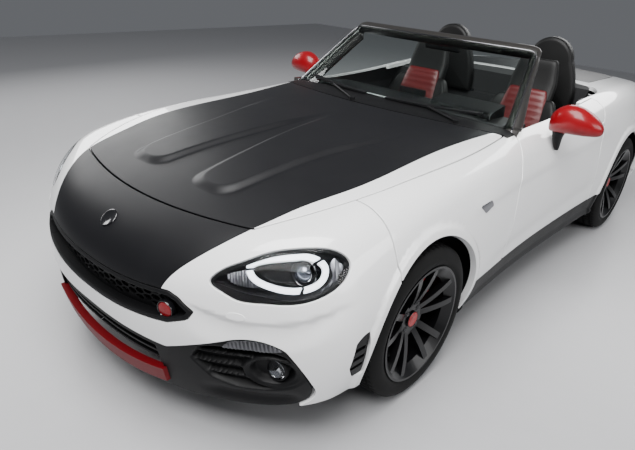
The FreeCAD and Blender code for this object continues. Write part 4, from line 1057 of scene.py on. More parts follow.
# Which finish each CAD node keeps in view, with * for each wheel's place
NODE_FINISH = (
    (PLASTIC, "grille lower_valance bumper_gills rear_diffuser wipers inner_mirror side_skirts cowl_panel"),
    (TRIM, "floor_pan firewall engine_bay rear_tub"),
    (CAST, "front_subframe rear_suspension knuckle_left knuckle_right"),
    (CALIPER, "rear_calipers caliper_left caliper_right"),
    (LEATHER, "steering_wheel seat_left seat_right"),
    (DASH, "dashboard centre_console"),
    (RED, "tow_cap mirror_left mirror_right"),
    (LIP_RED, "front_splitter"),
    (LENS, "front_lamps"),
    (TAIL_LENS, "tail_lamps"),
    (PIPE, "exhaust"),
    (CORE, "radiator"),
    (ALLOY, "engine"),
    (GREY, "windshield_frame"),
    (GLASS, "windshield_glass"),
    (GLOSS, "roll_hoops"),
    (FABRIC, "folded_top"),
    (WHEEL, "wheel_*"),
    (RUBBER, "tyre_*"),
    (STEEL, "hub_*"),
)
for finish, names in NODE_FINISH:
    for name in names.split():
        places = [corner for corner, _, _ in CORNERS] if "*" in name else [""]
        for place in places:
            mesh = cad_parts[name.replace("*", place)].data
            mesh.materials.clear()
            mesh.materials.append(finish)

# Body panels


def fender_tail(p):
    """Above 0 in the blade of the fender that runs down behind the front wheel."""
    away = np.hypot(p[:, 1] - FRONT_AXLE_Y, p[:, 2] - AXLE_Z)
    edge = ARCH_RADIUS + 34 - 0.16 * np.clip(SKIRT_TOP - p[:, 2], 0, 200)
    return np.minimum(np.minimum(edge - away, p[:, 2] - 212), p[:, 1] - FRONT_AXLE_Y)


def bulge_flanks(p):
    """Above 0 on the flanks of the bonnet's raised bands, ahead of where they fade."""
    inside = bulge_zone(p)
    return np.minimum(inside + 10, 44 - inside) - 99 * (p[:, 1] > -800)


def above_skirt(p):
    """Boundary function of the front fender's lower end."""
    return np.maximum(p[:, 2] - SKIRT_TOP - 1, fender_tail(p))


def above_rear_bumper(p):
    """Boundary function of the body ahead of the rear bumper and over it."""
    return np.maximum(REAR_SPLIT_Y - GAP / 2 - p[:, 1], p[:, 2] - REAR_SPLIT_Z - GAP / 2)


def skirt_sink(p):
    """The skirt's skin, with a ridge along it."""
    return 3 - 10 * rise(-np.abs(p[:, 2] - 205), -22, -6)


panel(
    "bumper_front", "car",
    [
        axis_below(1, BUMPER_SPLIT_Y - GAP / 2), axis_above(2, FRONT_BOTTOM_Z), out_of(HOOD_ZONE, GAP),
        out_of(GRILLE_ZONE, FIT), out_of(VALANCE_ZONE, FIT), out_of(LAMP_ZONE, FIT),
        out_of(GILL_ZONE, FIT), arch(FRONT_AXLE_Y),
    ],
    [WHITE, BLACK], black_zone, depth=24, replaces=("front_bumper",),
)
panel(
    "bonnet", "hood", [HOOD_ZONE], [WHITE, BLACK, TRIM], black_zone, depth=18, inner=20,
    focus=((bulge_flanks, 9),), replaces=("hood",),
)
fender = panel(
    "fender_skin_left", "car",
    [
        axis_above(1, BUMPER_SPLIT_Y + GAP / 2), axis_below(1, -250), above_skirt, out_of(HOOD_ZONE, GAP),
        out_of(COWL_ZONE, 1), out_of(COCKPIT_ZONE, 1), out_of(door_zone, GAP), arch(FRONT_AXLE_Y),
    ],
    [WHITE], depth=24, whole=False, replaces=("fender_left",),
)
mirror_copy(fender, "fender_skin_right", "car", ("fender_right",))
door = panel(
    "door_skin_left", "door_left", [door_zone], [WHITE], depth=12, whole=False
)
mirror_copy(door, "door_skin_right", "door_right")
panel(
    "quarters", "car",
    [
        axis_above(1, 560), axis_above(2, SKIRT_TOP + 1), out_of(door_zone, GAP), out_of(COCKPIT_ZONE, 0),
        out_of(trunk_zone, GAP), above_rear_bumper, out_of(TAIL_LAMP_ZONE, FIT), arch(REAR_AXLE_Y),
    ],
    [WHITE], depth=24, size=10, replaces=("rear_body",),
)
panel(
    "boot_lid", "trunk_lid", [trunk_zone], [BLACK, TRIM], depth=18, inner=20, replaces=("trunk_lid",),
)
panel(
    "bumper_rear", "car",
    [
        axis_above(1, REAR_SPLIT_Y + GAP / 2), axis_below(2, REAR_SPLIT_Z - GAP / 2),
        axis_above(2, REAR_BOTTOM_Z), out_of(DIFFUSER_ZONE, 1), arch(REAR_AXLE_Y),
    ],
    [WHITE], depth=24, size=10, replaces=("rear_bumper",),
)
panel(
    "sill_skirts", "car",
    [
        axis_above(1, SKIRT_Y[0]), axis_below(1, SKIRT_Y[1]), axis_below(2, SKIRT_TOP - 1),
        axis_above(2, SKIRT_BOTTOM_Z), arch(FRONT_AXLE_Y), arch(REAR_AXLE_Y), out_of(fender_tail, 1),
    ],
    [PLASTIC], depth=24, replaces=("side_skirts",), sink=skirt_sink,
)

# Doors


# Forms on the door's cabin side: pocket, arm rest and recess of the pull. Columns: y from, y to, z from,
# z to, slope, softness along, up and between both, width of the step, depth
DOOR_FORMS = (
    (-330, 250, 385, 500, 0.0, 20, 14, 14, 12, 26),
    (-260, 470, 585, 655, 0.05, 60, 20, 30, 22, -30),
    (-210, 40, 690, 742, 0.0, 20, 14, 14, 8, 14),
)
# Middle of the door's loudspeaker (y, z)
SPEAKER = (-395, 455)


def door_trim_x(y, z):
    """Width at which the door's cabin side lies, with its pocket, arm rest, recess and speaker."""
    x = 684 + 40 * (1 - rise(z, 420, 740))
    for y0, y1, z0, z1, slope, soft_y, soft_z, soft, step, depth in DOOR_FORMS:
        along = smooth_min(y - y0, y1 - y, soft_y)
        up = smooth_min(z - z0 - slope * y, z1 + slope * y - z, soft_z)
        x = x + depth * rise(smooth_min(along, up, soft), 0, step)
    away = np.hypot(y - SPEAKER[0], z - SPEAKER[1])
    return x - 4 * rise(away, 96, 88) * (1 + 0.35 * np.cos(away * 0.9)) * (away < 97)


DOOR_CAP_Z = 770.0


def door_core():
    """The door behind its skin: trim, shut faces and the rail along its top."""
    points, faces = panel_mesh([within(door_zone, 3)], focus=((DOOR_SIDE, 13),))
    outer = points - normals_of(points) * 6
    inner = outer.copy()
    inner[:, 0] = np.minimum(door_trim_x(outer[:, 1], outer[:, 2]), outer[:, 0] - 5)
    rim = outline_of_panel(faces, points)
    n = len(points)
    a, b = rim.T
    walls = np.concatenate([np.stack([a, a + n, b + n], 1), np.stack([a, b + n, b], 1)])
    points, every = used(np.concatenate([outer, inner]), np.concatenate([faces[:, ::-1] + n, walls]))
    marks = (points[every].mean(1)[:, 2] > DOOR_CAP_Z).astype(int)
    o = make_object("door_trim_left", points, every, [DASH, PLASTIC], marks)
    o.data.set_sharp_from_angle(angle=math.radians(42))
    return finish_piece(o, "door_left", ("door_left",))


core = door_core()
core_right = mirror_copy(core, "door_trim_right", "door_right", ("door_right",))
core_right.data.set_sharp_from_angle(angle=math.radians(42))


def handle_out(p):
    """How far in from the body the handle's skin lies: it stands out, and meets the body at both ends."""
    share = np.clip(np.abs(p[:, 1] - 572) / 84, 0, 1)
    return -24 * np.sqrt(np.maximum(1 - share**4, 0.0)) + 4


handle = panel(
    "door_handle_left", "door_left", [HANDLE_ZONE], [WHITE], depth=5, whole=False,
    sink=handle_out, size=3, focus=((HANDLE_ZONE, 5),),
)
mirror_copy(handle, "door_handle_right", "door_right")
# Middle lines of the door's pull and grip
PULL_LINE = ((694, -176, 716), (680, -160, 718), (678, -100, 720), (680, -40, 718), (694, -24, 716))
GRIP_LINE = ((672, 90, 628), (652, 110, 640), (650, 200, 652), (652, 290, 650), (672, 310, 640))
for side, sign in SIDES:
    pull = tube(smooth_line(PULL_LINE, 5) * (sign, 1, 1), 6, 12)
    grip = tube(smooth_line(GRIP_LINE, 6) * (sign, 1, 1), 9, 12)
    piece("door_pull_" + side, "door_" + side, [pull, grip], [CHROME, DASH], pick=(0, 1))

# Headlamps

panel(
    "headlamp_bowls", "car", [within(LAMP_ZONE, -3)], [LAMP_BLACK], depth=1, replaces=("front_lamps",),
    sink=lambda p: 10 + 18 * rise(LAMP_ZONE(p), 6, 26) + 30 * rise(RING_ZONE(p), 8, 22),
    focus=((LAMP_ZONE, 9),), edge=0.5,
)
panel(
    "headlamp_shelves", "car", [within(LAMP_ZONE, 3), SHELF_ZONE], [PLASTIC], depth=16,
    sink=lambda p: 7 + 0.12 * np.clip(LAMP_ZONE(p), 0, 60), size=4, edge=1.5,
)
panel(
    "headlamp_light_rings", "car", [ring_band] + [out_of(slit(a, b, 5.0), 0) for a, b in RING_BREAKS],
    [LIGHT], depth=9, sink=12, size=4, edge=1.5,
)


def facets(p, pitch, depth):
    """A pattern of fins for reflectors and clear lenses."""
    return depth * np.abs(((p[:, 0] + p[:, 1] * 0.6 + p[:, 2] * 0.35) / pitch) % 1 - 0.5)


panel(
    "headlamp_turn_lenses", "car", [TURN_ZONE, within(LAMP_ZONE, 6)], [LAMP_SILVER], depth=6,
    sink=lambda p: 15 + facets(p, 11, 6), size=3, focus=((TURN_ZONE, 3),), edge=1.0,
)
panel(
    "headlamp_outer_reflectors", "car", [OUTER_ZONE, within(LAMP_ZONE, 6)], [LAMP_SILVER], depth=6,
    sink=lambda p: 16 + facets(p, 26, 10), size=3, focus=((OUTER_ZONE, 4),), edge=1.0,
)
panel(
    "headlamp_covers", "car", [within(LAMP_ZONE, 2)], [LENS], depth=3, inner=3,
    sink=0.5, edge=1.0,
)
# The left projector and the turned rows of its cup, barrel and lens: distance along, radius
PROJECTOR = (703, -1697, 666)
PROJECTOR_WAY = (0.30, -0.93, 0.12)
cup = [(-34, 20), (-30, 34), (-4, 41), (0, 42), (2, 41), (0, 38), (-14, 30), (-16, 0)]
barrel = [(-20, 29), (0, 29), (4, 28), (5, 26), (0, 25), (-18, 25)]
dome = [(-4, 25), (2, 24.6), (9, 21), (14, 15), (17, 8), (18, 0)]
piece(
    "headlamp_projectors", "car", [lathe(rows, PROJECTOR, PROJECTOR_WAY) for rows in (cup, barrel, dome)],
    [GLOSS, CHROME, LENS_BALL], pick=(0, 1, 2), double=True,
)

# Lower front: ducts, fog lamps, intake


def inside_box(p, x0, x1, z0, z1):
    """Above 0 inside an upright box seen from ahead."""
    return np.minimum(np.minimum(p[:, 0] - x0, x1 - p[:, 0]), np.minimum(p[:, 2] - z0, z1 - p[:, 2]))


# Middle of the left fog lamp (x, z), and the heights of the duct's slats
FOG = (702.0, 350.0)
SLAT_HEIGHTS = (392, 352, 312)


def duct_sink(p):
    """The corner duct: a deep field with three slats, the hooded fog lamp and a smooth lower scoop."""
    x, z = p[:, 0], p[:, 2]
    inside = DUCT_ZONE(p)
    out = 7 + 30 * rise(inside, 0, 16)
    for height in SLAT_HEIGHTS:
        line = height + 0.10 * (x - 560)
        slat = rise(6.5 - np.abs(z - line), 0, 4) * (x < 650)
        out -= 22 * slat * rise(inside, 4, 16)
    oval = np.hypot((x - FOG[0]) / 66, (z - FOG[1]) / 52)
    hood = rise(oval, 1.32, 1.12)
    out = out * (1 - hood) + (11 + 6 * rise(oval, 1.12, 0.98)) * hood
    out += 26 * rise(oval, 0.95, 0.72)
    scoop = np.exp(-(((z - 238 - 0.05 * (x - 600)) / 20) ** 2))
    return out + 12 * (scoop * rise(x, 470, 560) * (1 - rise(x, 730, 775)))


panel(
    "lower_grille_panel", "car", [VALANCE_ZONE, out_of(INTAKE_ZONE, 1), out_of(LIP_ZONE, 0)], [PLASTIC],
    depth=20, replaces=("lower_valance",), sink=duct_sink,
    focus=((lambda p: inside_box(p, 440, 790, 200, 450), 9), (within(DUCT_ZONE, -8), 6)),
)
TURN_STRIP = ((566, 424), (586, 449), (690, 462, 640, 462), (734, 444), (650, 434, 700, 436), (566, 424))
STRIP_ZONE = region(TURN_STRIP, "front", lambda p: p[:, 1] < -1500, soft=3, step=4)
panel(
    "indicator_strips", "car", [STRIP_ZONE], [LAMP_SILVER], depth=8,
    sink=lambda p: 3 + facets(p, 15, 7), size=3, focus=((STRIP_ZONE, 4.5),), edge=1.0,
)
fog_at = on_front(FOG[0] + 12, FOG[1], 36)
FOG_WAY = (0.18, -0.98, 0.03)
ring = [(-6, 40), (8, 39), (11, 37), (10, 34), (2, 33), (-6, 30)]
bowl = [(-8, 0), (-6, 14), (0, 26), (4, 33)]
lens = [(5, 33.5), (9, 31), (14, 20), (16, 8), (16.5, 0)]
piece(
    "fog_lamps", "car", [lathe(rows, fog_at, FOG_WAY) for rows in (ring, bowl, lens)],
    [PLASTIC, REFLECTOR, LENS], pick=(0, 1, 2), double=True,
)
panel(
    "grille_frame", "car", [GRILLE_ZONE, lambda p: 15 - GRILLE_ZONE(p)], [PLASTIC], depth=34,
    sink=-1.5, size=4, edge=4.0,
)
panel("grille_backing", "car", [within(GRILLE_ZONE, -6)], [SEAL], depth=2, sink=62, size=14, edge=1.0)


def intake_bar(height):
    """Boundary function of a bar across the intake."""

    def inside(p):
        bar = np.minimum(5 - np.abs(p[:, 2] - height), 352 - p[:, 0])
        return np.minimum(bar, -p[:, 1] - 1700)

    return inside


for number, height in enumerate((283, 309, 335)):
    name = "intake_bar_" + str(number + 1)
    panel(name, "car", [intake_bar(height)], [PLASTIC], depth=20, sink=18, size=4, edge=1.5)
# Place of the tow-eye cap across the nose, and the way it faces
TOW_X = 376.0
TOW_WAY = (0.24, -0.97, 0)
tow_place = (TOW_X, NOSE_Y + 53 * (TOW_X / 400) ** 2 + 16, 498)
piece(
    "tow_cap_collar", "car",
    [
        lathe([(-12, 27), (3, 27), (5, 28.5), (5, 30), (3, 31), (-12, 32)], tow_place, TOW_WAY),
        lathe([(-8, 26.5), (2, 26.5), (4, 25), (5, 20), (5.4, 0)], tow_place, TOW_WAY),
    ],
    [GLOSS, RED], pick=(0, 1), replaces=("tow_cap",),
)
disc_rows = ((-5, 34), (1.5, 34), (3, 32), (3.2, 30), (2.2, 28.5), (2.4, 0))
disc_place = on_front(0, 668)
piece("nose_disc", "car", [lathe(disc_rows, disc_place, normals_of(disc_place[None])[0])], [GLOSS])


def washer_zone(p):
    """Boundary function of the oval cap in the bumper below the left headlamp."""
    return 17 - np.hypot((p[:, 0] - 600) * 0.62, (p[:, 2] - 540) * 1.35) - 600.0 * (p[:, 1] > -1500)


panel(
    "washer_caps", "car", [washer_zone], [WHITE], depth=4, sink=-1.5, size=2.5,
    edge=1.0,
)
panel(
    "side_indicators", "car", [SIDE_LENS_ZONE], [LENS_FACET], depth=4, sink=-2.5,
    size=3, edge=2.0,
)

# Windscreen frame

# The screen's lower and upper arc. Columns: z, half_width, y_side, y_centre
SCREEN_ARCS = ((846.0, 672.0, -330.0, -545.0), (1205.0, 545.0, 120.0, 10.0))


def screen_y(x, z):
    """The screen's front face at a width and height."""
    faces = []
    for _, half, side, centre in SCREEN_ARCS:
        bow = side - centre
        radius = (half**2 + bow**2) / (2 * bow)
        faces.append(centre + radius - math.sqrt(radius**2 - x**2))
    low, high = SCREEN_ARCS[0][0], SCREEN_ARCS[1][0]
    return faces[0] + (faces[1] - faces[0]) * (z - low) / (high - low)


def screen_point(x, z, back=0.0):
    """A point on the screen's face, moved back square to it."""
    slope = (screen_y(x, z + 1) - screen_y(x, z - 1)) / 2
    bend = (screen_y(x + 1, z) - screen_y(x - 1, z)) / 2
    normal = unit((bend, -1, slope))
    return np.array((x, screen_y(x, z), z)) - normal * back, normal


# Height of the glass's upper edge at its corners, and how far the header rises in the middle
SEAL_TOP_Z = 1171.0
SEAL_CROWN = 12.0
# Lowest part of the pillars, ahead of the doors and over them, and how much wider they are there
FOOT_Z = 840.0
OVER_DOOR_Z = 868.0
DOOR_FRONT_Y = -318.0
FOOT_SPREAD = 26.0
# Bars of the frame. Columns: reach inward, reach outward, front depth, back depth
PILLAR_SIZE = (28, 24, 7, 84)
HEADER_SIZE = (12, 50, 0, 56)
SEAL_SIZE = (3, 5, -3, 7)


def seal_half(z):
    """Half the width between the pillars' seals at a height."""
    (z0, h0, _, _), (z1, h1, _, _) = SCREEN_ARCS
    return h0 + 4 + (h1 - h0) * (z - z0) / (z1 - z0)


def seal_path(corner=60.0, low=835.0, step=8.0):
    """Points (x, z) of the seal: up one pillar, over the header and down the other."""
    wide_low, wide_high = seal_half(low), seal_half(SEAL_TOP_Z)
    left = [(wide_low, low), (wide_high, SEAL_TOP_Z)]
    corners = np.array(left + [(-x, z) for x, z in left[::-1]])
    along = lengths(corners)
    at = np.linspace(0, along[-1], int(along[-1] / step))
    line = np.stack([np.interp(at, along, corners[:, i]) for i in (0, 1)], 1)
    n = int(corner / step)
    weights = np.hanning(2 * n + 3)[1:-1]
    weights /= weights.sum()
    soft = np.stack([np.convolve(line[:, i], weights, "valid") for i in (0, 1)], 1)
    line = np.concatenate([line[:n], soft, line[-n:]])
    share = np.clip((line[:, 1] - low) / (SEAL_TOP_Z - low), 0, 1) ** 8
    line[:, 1] += SEAL_CROWN * share * (1 - (line[:, 0] / wide_high) ** 2)
    return line


def bar_along(path, pillar, header, soft=3.2, count=20):
    """A rounded bar along a path on the screen, with the sizes of pillars and header."""
    spots = [screen_point(x, z) for x, z in path]
    line = np.array([p for p, _ in spots])
    normal = np.array([n for _, n in spots])
    way = units(np.gradient(line, axis=0))
    across = units(np.cross(way, normal))
    over = rise(np.abs(way[:, :1]), 0.5, 0.95)
    inward, outward, front, back = ((1 - over) * np.array(pillar) + over * np.array(header)).T[..., None]
    outward = outward + FOOT_SPREAD * (1 - rise(line[:, 2:], FOOT_Z, SEAL_TOP_Z - 60)) * (outward > 6)
    t = turns(count)
    power = 2 / soft
    a = power_of(np.cos(t), power) * (inward + outward) / 2 + (outward - inward) / 2
    b = power_of(np.sin(t), power) * (back - front) / 2 - (back + front) / 2
    points = line[:, None] + across[:, None] * a[..., None] + normal[:, None] * b[..., None]
    points = points.reshape(-1, 3)
    points[:, 2] = np.maximum(points[:, 2], np.where(points[:, 1] > DOOR_FRONT_Y, OVER_DOOR_Z, FOOT_Z))
    return points, grid_faces(len(path), count, True)[:, ::-1]


def screen_sheet(rows=17, columns=49, low=860.0, front=1.0, thick=5.0):
    """The curved windscreen glass between the seals."""
    rings = []
    for share in np.linspace(0, 1, rows):
        ring = []
        for back, turn in ((front, 1), (front + thick, -1)):
            for t in np.linspace(-1, 1, columns)[::turn]:
                top = SEAL_TOP_Z + 4 + SEAL_CROWN * (1 - t * t)
                z = low + (top - low) * share
                ring.append(screen_point(t * seal_half(z), z, back)[0])
        rings.append(ring)
    return np.concatenate(rings), grid_faces(rows, 2 * columns, True)


SEAL_LINE = seal_path()
piece(
    "screen_frame", "car",
    [
        bar_along(SEAL_LINE, PILLAR_SIZE, HEADER_SIZE),
        bar_along(SEAL_LINE, SEAL_SIZE, SEAL_SIZE, count=10),
    ],
    [GREY, CHROME_DARK], pick=(0, 1), sharp=50, replaces=("windshield_frame",),
)
piece(
    "screen_sheet", "car", [screen_sheet()], [GLASS], replaces=("windshield_glass",)
)

# Mirrors

# Housing sections of the left mirror. Columns: x, y, z, radius ahead, radius behind, up, down
MIRROR_ROWS = (
    (741, -46, 880, 4, 4, 6, 8),
    (747, -52, 884, 24, 22, 38, 38),
    (775, -62, 896, 48, 30, 62, 52),
    (820, -66, 906, 62, 32, 75, 58),
    (870, -64, 908, 66, 32, 73, 57),
    (915, -60, 904, 60, 30, 60, 50),
    (950, -54, 898, 46, 26, 42, 40),
    (975, -48, 890, 26, 18, 22, 25),
    (984, -45, 887, 6, 5, 5, 7),
)


def mirror_housing(count=40):
    """The red housing, flat behind where its glass sits."""
    rows = smooth_rows(MIRROR_ROWS, 34)
    t = turns(count)
    c, s = np.cos(t), np.sin(t)
    points = []
    for x, y, z, ahead, behind, up, down in rows:
        reach = np.where(c > 0, behind, ahead)
        high = np.where(s > 0, up, down)
        square = np.where(c > 0, 0.5, 0.9)
        py = y + power_of(c, square) * reach
        pz = z + power_of(s, 0.9) * high
        points.append(np.stack([np.full(count, x), py, pz], 1))
    return np.concatenate(points), grid_faces(len(rows), count, True)[:, ::-1]


def smooth_rows(table, count):
    """Rows of a table filled in smoothly along its first column."""
    table = np.array(table, float)
    share = (1 - np.cos(np.linspace(0, math.pi, count))) / 2
    at = np.interp(share, np.linspace(0, 1, len(table)), np.arange(len(table)))
    return np.stack([spline(np.stack([np.arange(len(table)), c], 1))(at) for c in table.T], 1)


# Edge of the left mirror's glass, as points x, z
MIRROR_FACE = (
    (762, 893), (788, 944), (840, 966), (900, 950), (956, 906), (960, 882), (900, 866), (820, 862),
    (768, 868),
)
# Rings of the glass and of its rim: share of the outline, y
MIRROR_GLASS = ((1.0, -36.5), (0.985, -35.6), (0.5, -35.4), (0.01, -35.4))
MIRROR_RIM = ((1.09, -42), (1.09, -35), (1.05, -33), (1.0, -34), (0.99, -40))
# The foot of the mirror. Columns: x, y, z, radius across, radius along
STEM = (
    (800, -52, 872, 38, 40),
    (793, -50, 846, 30, 37),
    (789, -42, 812, 22, 32),
    (790, -32, 780, 16, 26),
    (793, -26, 752, 9, 16),
)


def nested(line, rows):
    """Rings of a closed line about its middle: rows of its share and its y."""
    middle = line.mean(0)
    rings = [(line - middle) * share + middle + (0, y, 0) for share, y in rows]
    return np.concatenate(rings), grid_faces(len(rows), len(line), True)


mirror_line = smooth_line([(x, 0, z) for x, z in MIRROR_FACE], 8, closed=True)
mirror_glass = nested(mirror_line, MIRROR_GLASS)
mirror_rim = nested(mirror_line, MIRROR_RIM)


def mirror_stem(count=24):
    """The mirror's foot, from the housing down to the door."""
    rows = smooth_rows(STEM, 16)
    t = turns(count)
    rings = []
    for x, y, z, across, along in rows:
        rings.append(np.stack([x + across * np.cos(t), y + along * np.sin(t), np.full(count, z)], 1))
    return np.concatenate(rings), grid_faces(len(rows), count, True)[:, ::-1]


for side, sign in SIDES:
    points, faces, marks = joined(mirror_housing(), mirror_stem(), mirror_rim, mirror_glass)
    if sign < 0:
        points, faces = points * (-1, 1, 1), [tuple(reversed(f)) for f in faces]
    marks = [(0, 1, 1, 2)[m] for m in marks]
    o = make_object("outer_mirror_" + side, points, faces, [RED, PLASTIC, MIRROR], marks)
    o.data.set_sharp_from_angle(angle=math.radians(45))
    finish_piece(o, "door_" + side, ("mirror_" + side,))
piece("inner_mirror_glass", "car", [block((-104, 139, 1099), (104, 142, 1151), 1.4)], [MIRROR])

# Wheels and tyres

# Blocks round the tread, steps in each, and the middles of the grooves
BLOCKS = 66
BLOCK_STEPS = 4
TREAD_GROOVES = (-62.0, -22.0, 22.0, 62.0)
GROOVE_HALF = 3.5
# Rows of points from the tread's middle outwards, then a side from bead to shoulder as x, radius
TREAD_ROWS = (0.0, 9.0, 18.3, 18.7, 25.3, 25.7, 36.0, 47.0, 58.3, 58.7, 65.3, 65.7, 71.0, 76.0)
TYRE_PROFILE = (
    (-88, 219), (-91, 226), (-93, 236), (-99, 244), (-102.5, 252), (-102.4, 262), (-101, 272), (-97, 284),
    (-91, 295), (-83, 302.5),
)


def tyre_mesh():
    """A tyre about the X axis: rounded shoulders, grooves round it and slanting sipes between them."""
    side = list(TYRE_PROFILE)
    half = [(x, 307.6 - 3.2 * (x / 80) ** 3) for x in TREAD_ROWS]
    across = [(-x, r) for x, r in reversed(half[1:])] + half
    rows = np.array(side + across + [(-x, r) for x, r in reversed(side)])
    count = BLOCKS * BLOCK_STEPS
    angle = turns(count)
    x = np.repeat(rows[:, :1], count, 1)
    radius = np.repeat(rows[:, 1:], count, 1)
    cut = np.zeros_like(radius)
    for groove in TREAD_GROOVES:
        cut = np.maximum(cut, 7.0 * (np.abs(x - groove) < GROOVE_HALF))
    turn = angle[None, :] * count / (2 * math.pi) + np.abs(x) * 0.06
    sipe = (turn % BLOCK_STEPS < 0.9) & (np.abs(x) > 26) & (np.abs(x) < 90)
    cut = np.maximum(cut, 4.5 * sipe)
    ribs = 0.7 * ((np.abs(rows[:, 0]) > 100) & (rows[:, 1] > 255) & (rows[:, 1] < 275))
    radius = radius - cut
    x = x + np.sign(x) * ribs[:, None] * (np.arange(count) % 2)[None, :]
    points = np.stack([x, radius * np.cos(angle), radius * np.sin(angle)], 2).reshape(-1, 3)
    faces = grid_faces(len(rows), count, True)
    return points, faces


TYRE = tyre_mesh()
# Place of the hub's face, and the circles of bolts and valve about the axle
HUB_FACE = 760.0
BOLT_CIRCLE = 49.0
VALVE_CIRCLE = 196.0
# Turned forms on a wheel's face: distance out from it, radius
CAP_ROWS = ((38, 30), (41, 30), (43, 28), (43.5, 24), (42.4, 22), (42.8, 0))
CAP_RING = ((38, 33), (41, 33), (41.5, 31.5), (39, 30))
BOLT_WELL = ((33.8, 13), (35.2, 12.6), (35.2, 10.4), (34.2, 10))
BOLT_HEAD = ((30, 8.5), (36, 8.5), (38, 7.4), (38.2, 3.6), (35, 3.4), (35, 0))
VALVE = ((-30, 5), (4, 5), (6, 4), (20, 4), (23, 3), (23, 0))


def on_circle(degrees, radius):
    """A point of a circle about the X axis."""
    turn = math.radians(degrees)
    return np.array((0, math.cos(turn), math.sin(turn))) * radius


for corner, axle, sign in CORNERS:
    body = "wheel_" + corner
    place = np.array((sign * WHEEL_X, axle, AXLE_Z))
    tyre = make_object("tyre_tread_" + corner, TYRE[0] + place, TYRE[1], [RUBBER])
    tyre.data.set_sharp_from_angle(angle=math.radians(32))
    finish_piece(tyre, body, ("tyre_" + corner,))
    out = (sign, 0, 0)
    face = np.array((sign * HUB_FACE, axle, AXLE_Z))
    parts = [lathe(CAP_ROWS, face, out, 40), lathe(CAP_RING, face, out, 40)]
    for k in range(4):
        spot = face + on_circle(45 + 90 * k, BOLT_CIRCLE)
        parts += [lathe(BOLT_WELL, spot, out, 20), lathe(BOLT_HEAD, spot, out, 6)]
    spot = face + on_circle(9, VALVE_CIRCLE) + np.array((sign * 12, 0, 0))
    parts.append(lathe(VALVE, spot, out, 12))
    pick = [0, 1] + [1, 2] * 4 + [3]
    piece("wheel_trim_" + corner, body, parts, [CALIPER, WHEEL, CAST, PLASTIC], pick=pick)

# Outer halves of the front calipers: turns from upright in degrees, then mean radius, half height,
# middle x and half depth
CALIPER_TURNS = (16.0, 86.0)
CALIPER_RING = (133.0, 34.0, 752.0, 14.0)


def caliper_shell(sign, rows=17, count=24):
    """The painted outer half of a front caliper: a padded arc over the disc, behind the spokes."""
    radius, high, x_middle, deep = CALIPER_RING
    t = turns(count)
    a, b = power_of(np.cos(t), 0.45), power_of(np.sin(t), 0.45)
    rings = []
    for share in np.linspace(-1, 1, rows):
        size = max(1 - share**8, 0.0) ** 0.5 + 0.001
        turn = math.radians(np.interp(share, (-1, 1), CALIPER_TURNS))
        r = radius + high * a * (0.75 + 0.25 * size) * (size > 0.01)
        x = sign * (x_middle + deep * b * size)
        rings.append(np.stack([x, FRONT_AXLE_Y + r * math.sin(turn), AXLE_Z + r * math.cos(turn)], 1))
    return np.concatenate(rings), grid_faces(rows, count, True)[:, ::sign]


for side, sign in SIDES:
    piece("caliper_shell_" + side, "knuckle_" + side, [caliper_shell(sign)], [CALIPER], sharp=50)

# Seats


def pad(spine, width, thick, bolster=0.0, ribs=0, rib=2.0, rows=60, count=44, end=4.0, square=0.45):
    """A padded form along a line of (y, z), its face to the left of the line, as points about x = 0.

    width and thick are half width and thickness along it, as (share, size) rows.
    """
    line = smooth_line([(0, y, z) for y, z in spine], 4.0)
    along = lengths(line)
    share = (1 - np.cos(np.linspace(0, math.pi, rows))) / 2
    y = np.interp(share * along[-1], along, line[:, 1])
    z = np.interp(share * along[-1], along, line[:, 2])
    way = units(np.stack([np.gradient(y), np.gradient(z)], 1))
    face = np.stack([-way[:, 1], way[:, 0]], 1)
    close = np.maximum(1 - np.abs(2 * share - 1) ** (2 * end), 0) ** (1 / end)
    w = np.interp(share, *zip(*width)) * (0.82 + 0.18 * close)
    t = np.interp(share, *zip(*thick)) * close
    angle = turns(count)
    c, s = np.cos(angle), np.sin(angle)
    cx = power_of(c, square)
    sx = power_of(s, 0.8)
    x = w[:, None] * cx[None]
    n = t[:, None] / 2 * sx[None]
    front = (sx > 0)[None] * close[:, None]
    n = n + front * bolster * np.abs(cx[None]) ** 3
    if ribs:
        wave = np.abs(np.sin(share * math.pi * ribs))[:, None]
        n = n + front * rib * (wave - 1) * rise(1 - np.abs(cx[None]), 0.02, 0.12)
    points = np.stack([x, y[:, None] + face[:, :1] * n, z[:, None] + face[:, 1:] * n], 2).reshape(-1, 3)
    return points, grid_faces(rows, count, True)


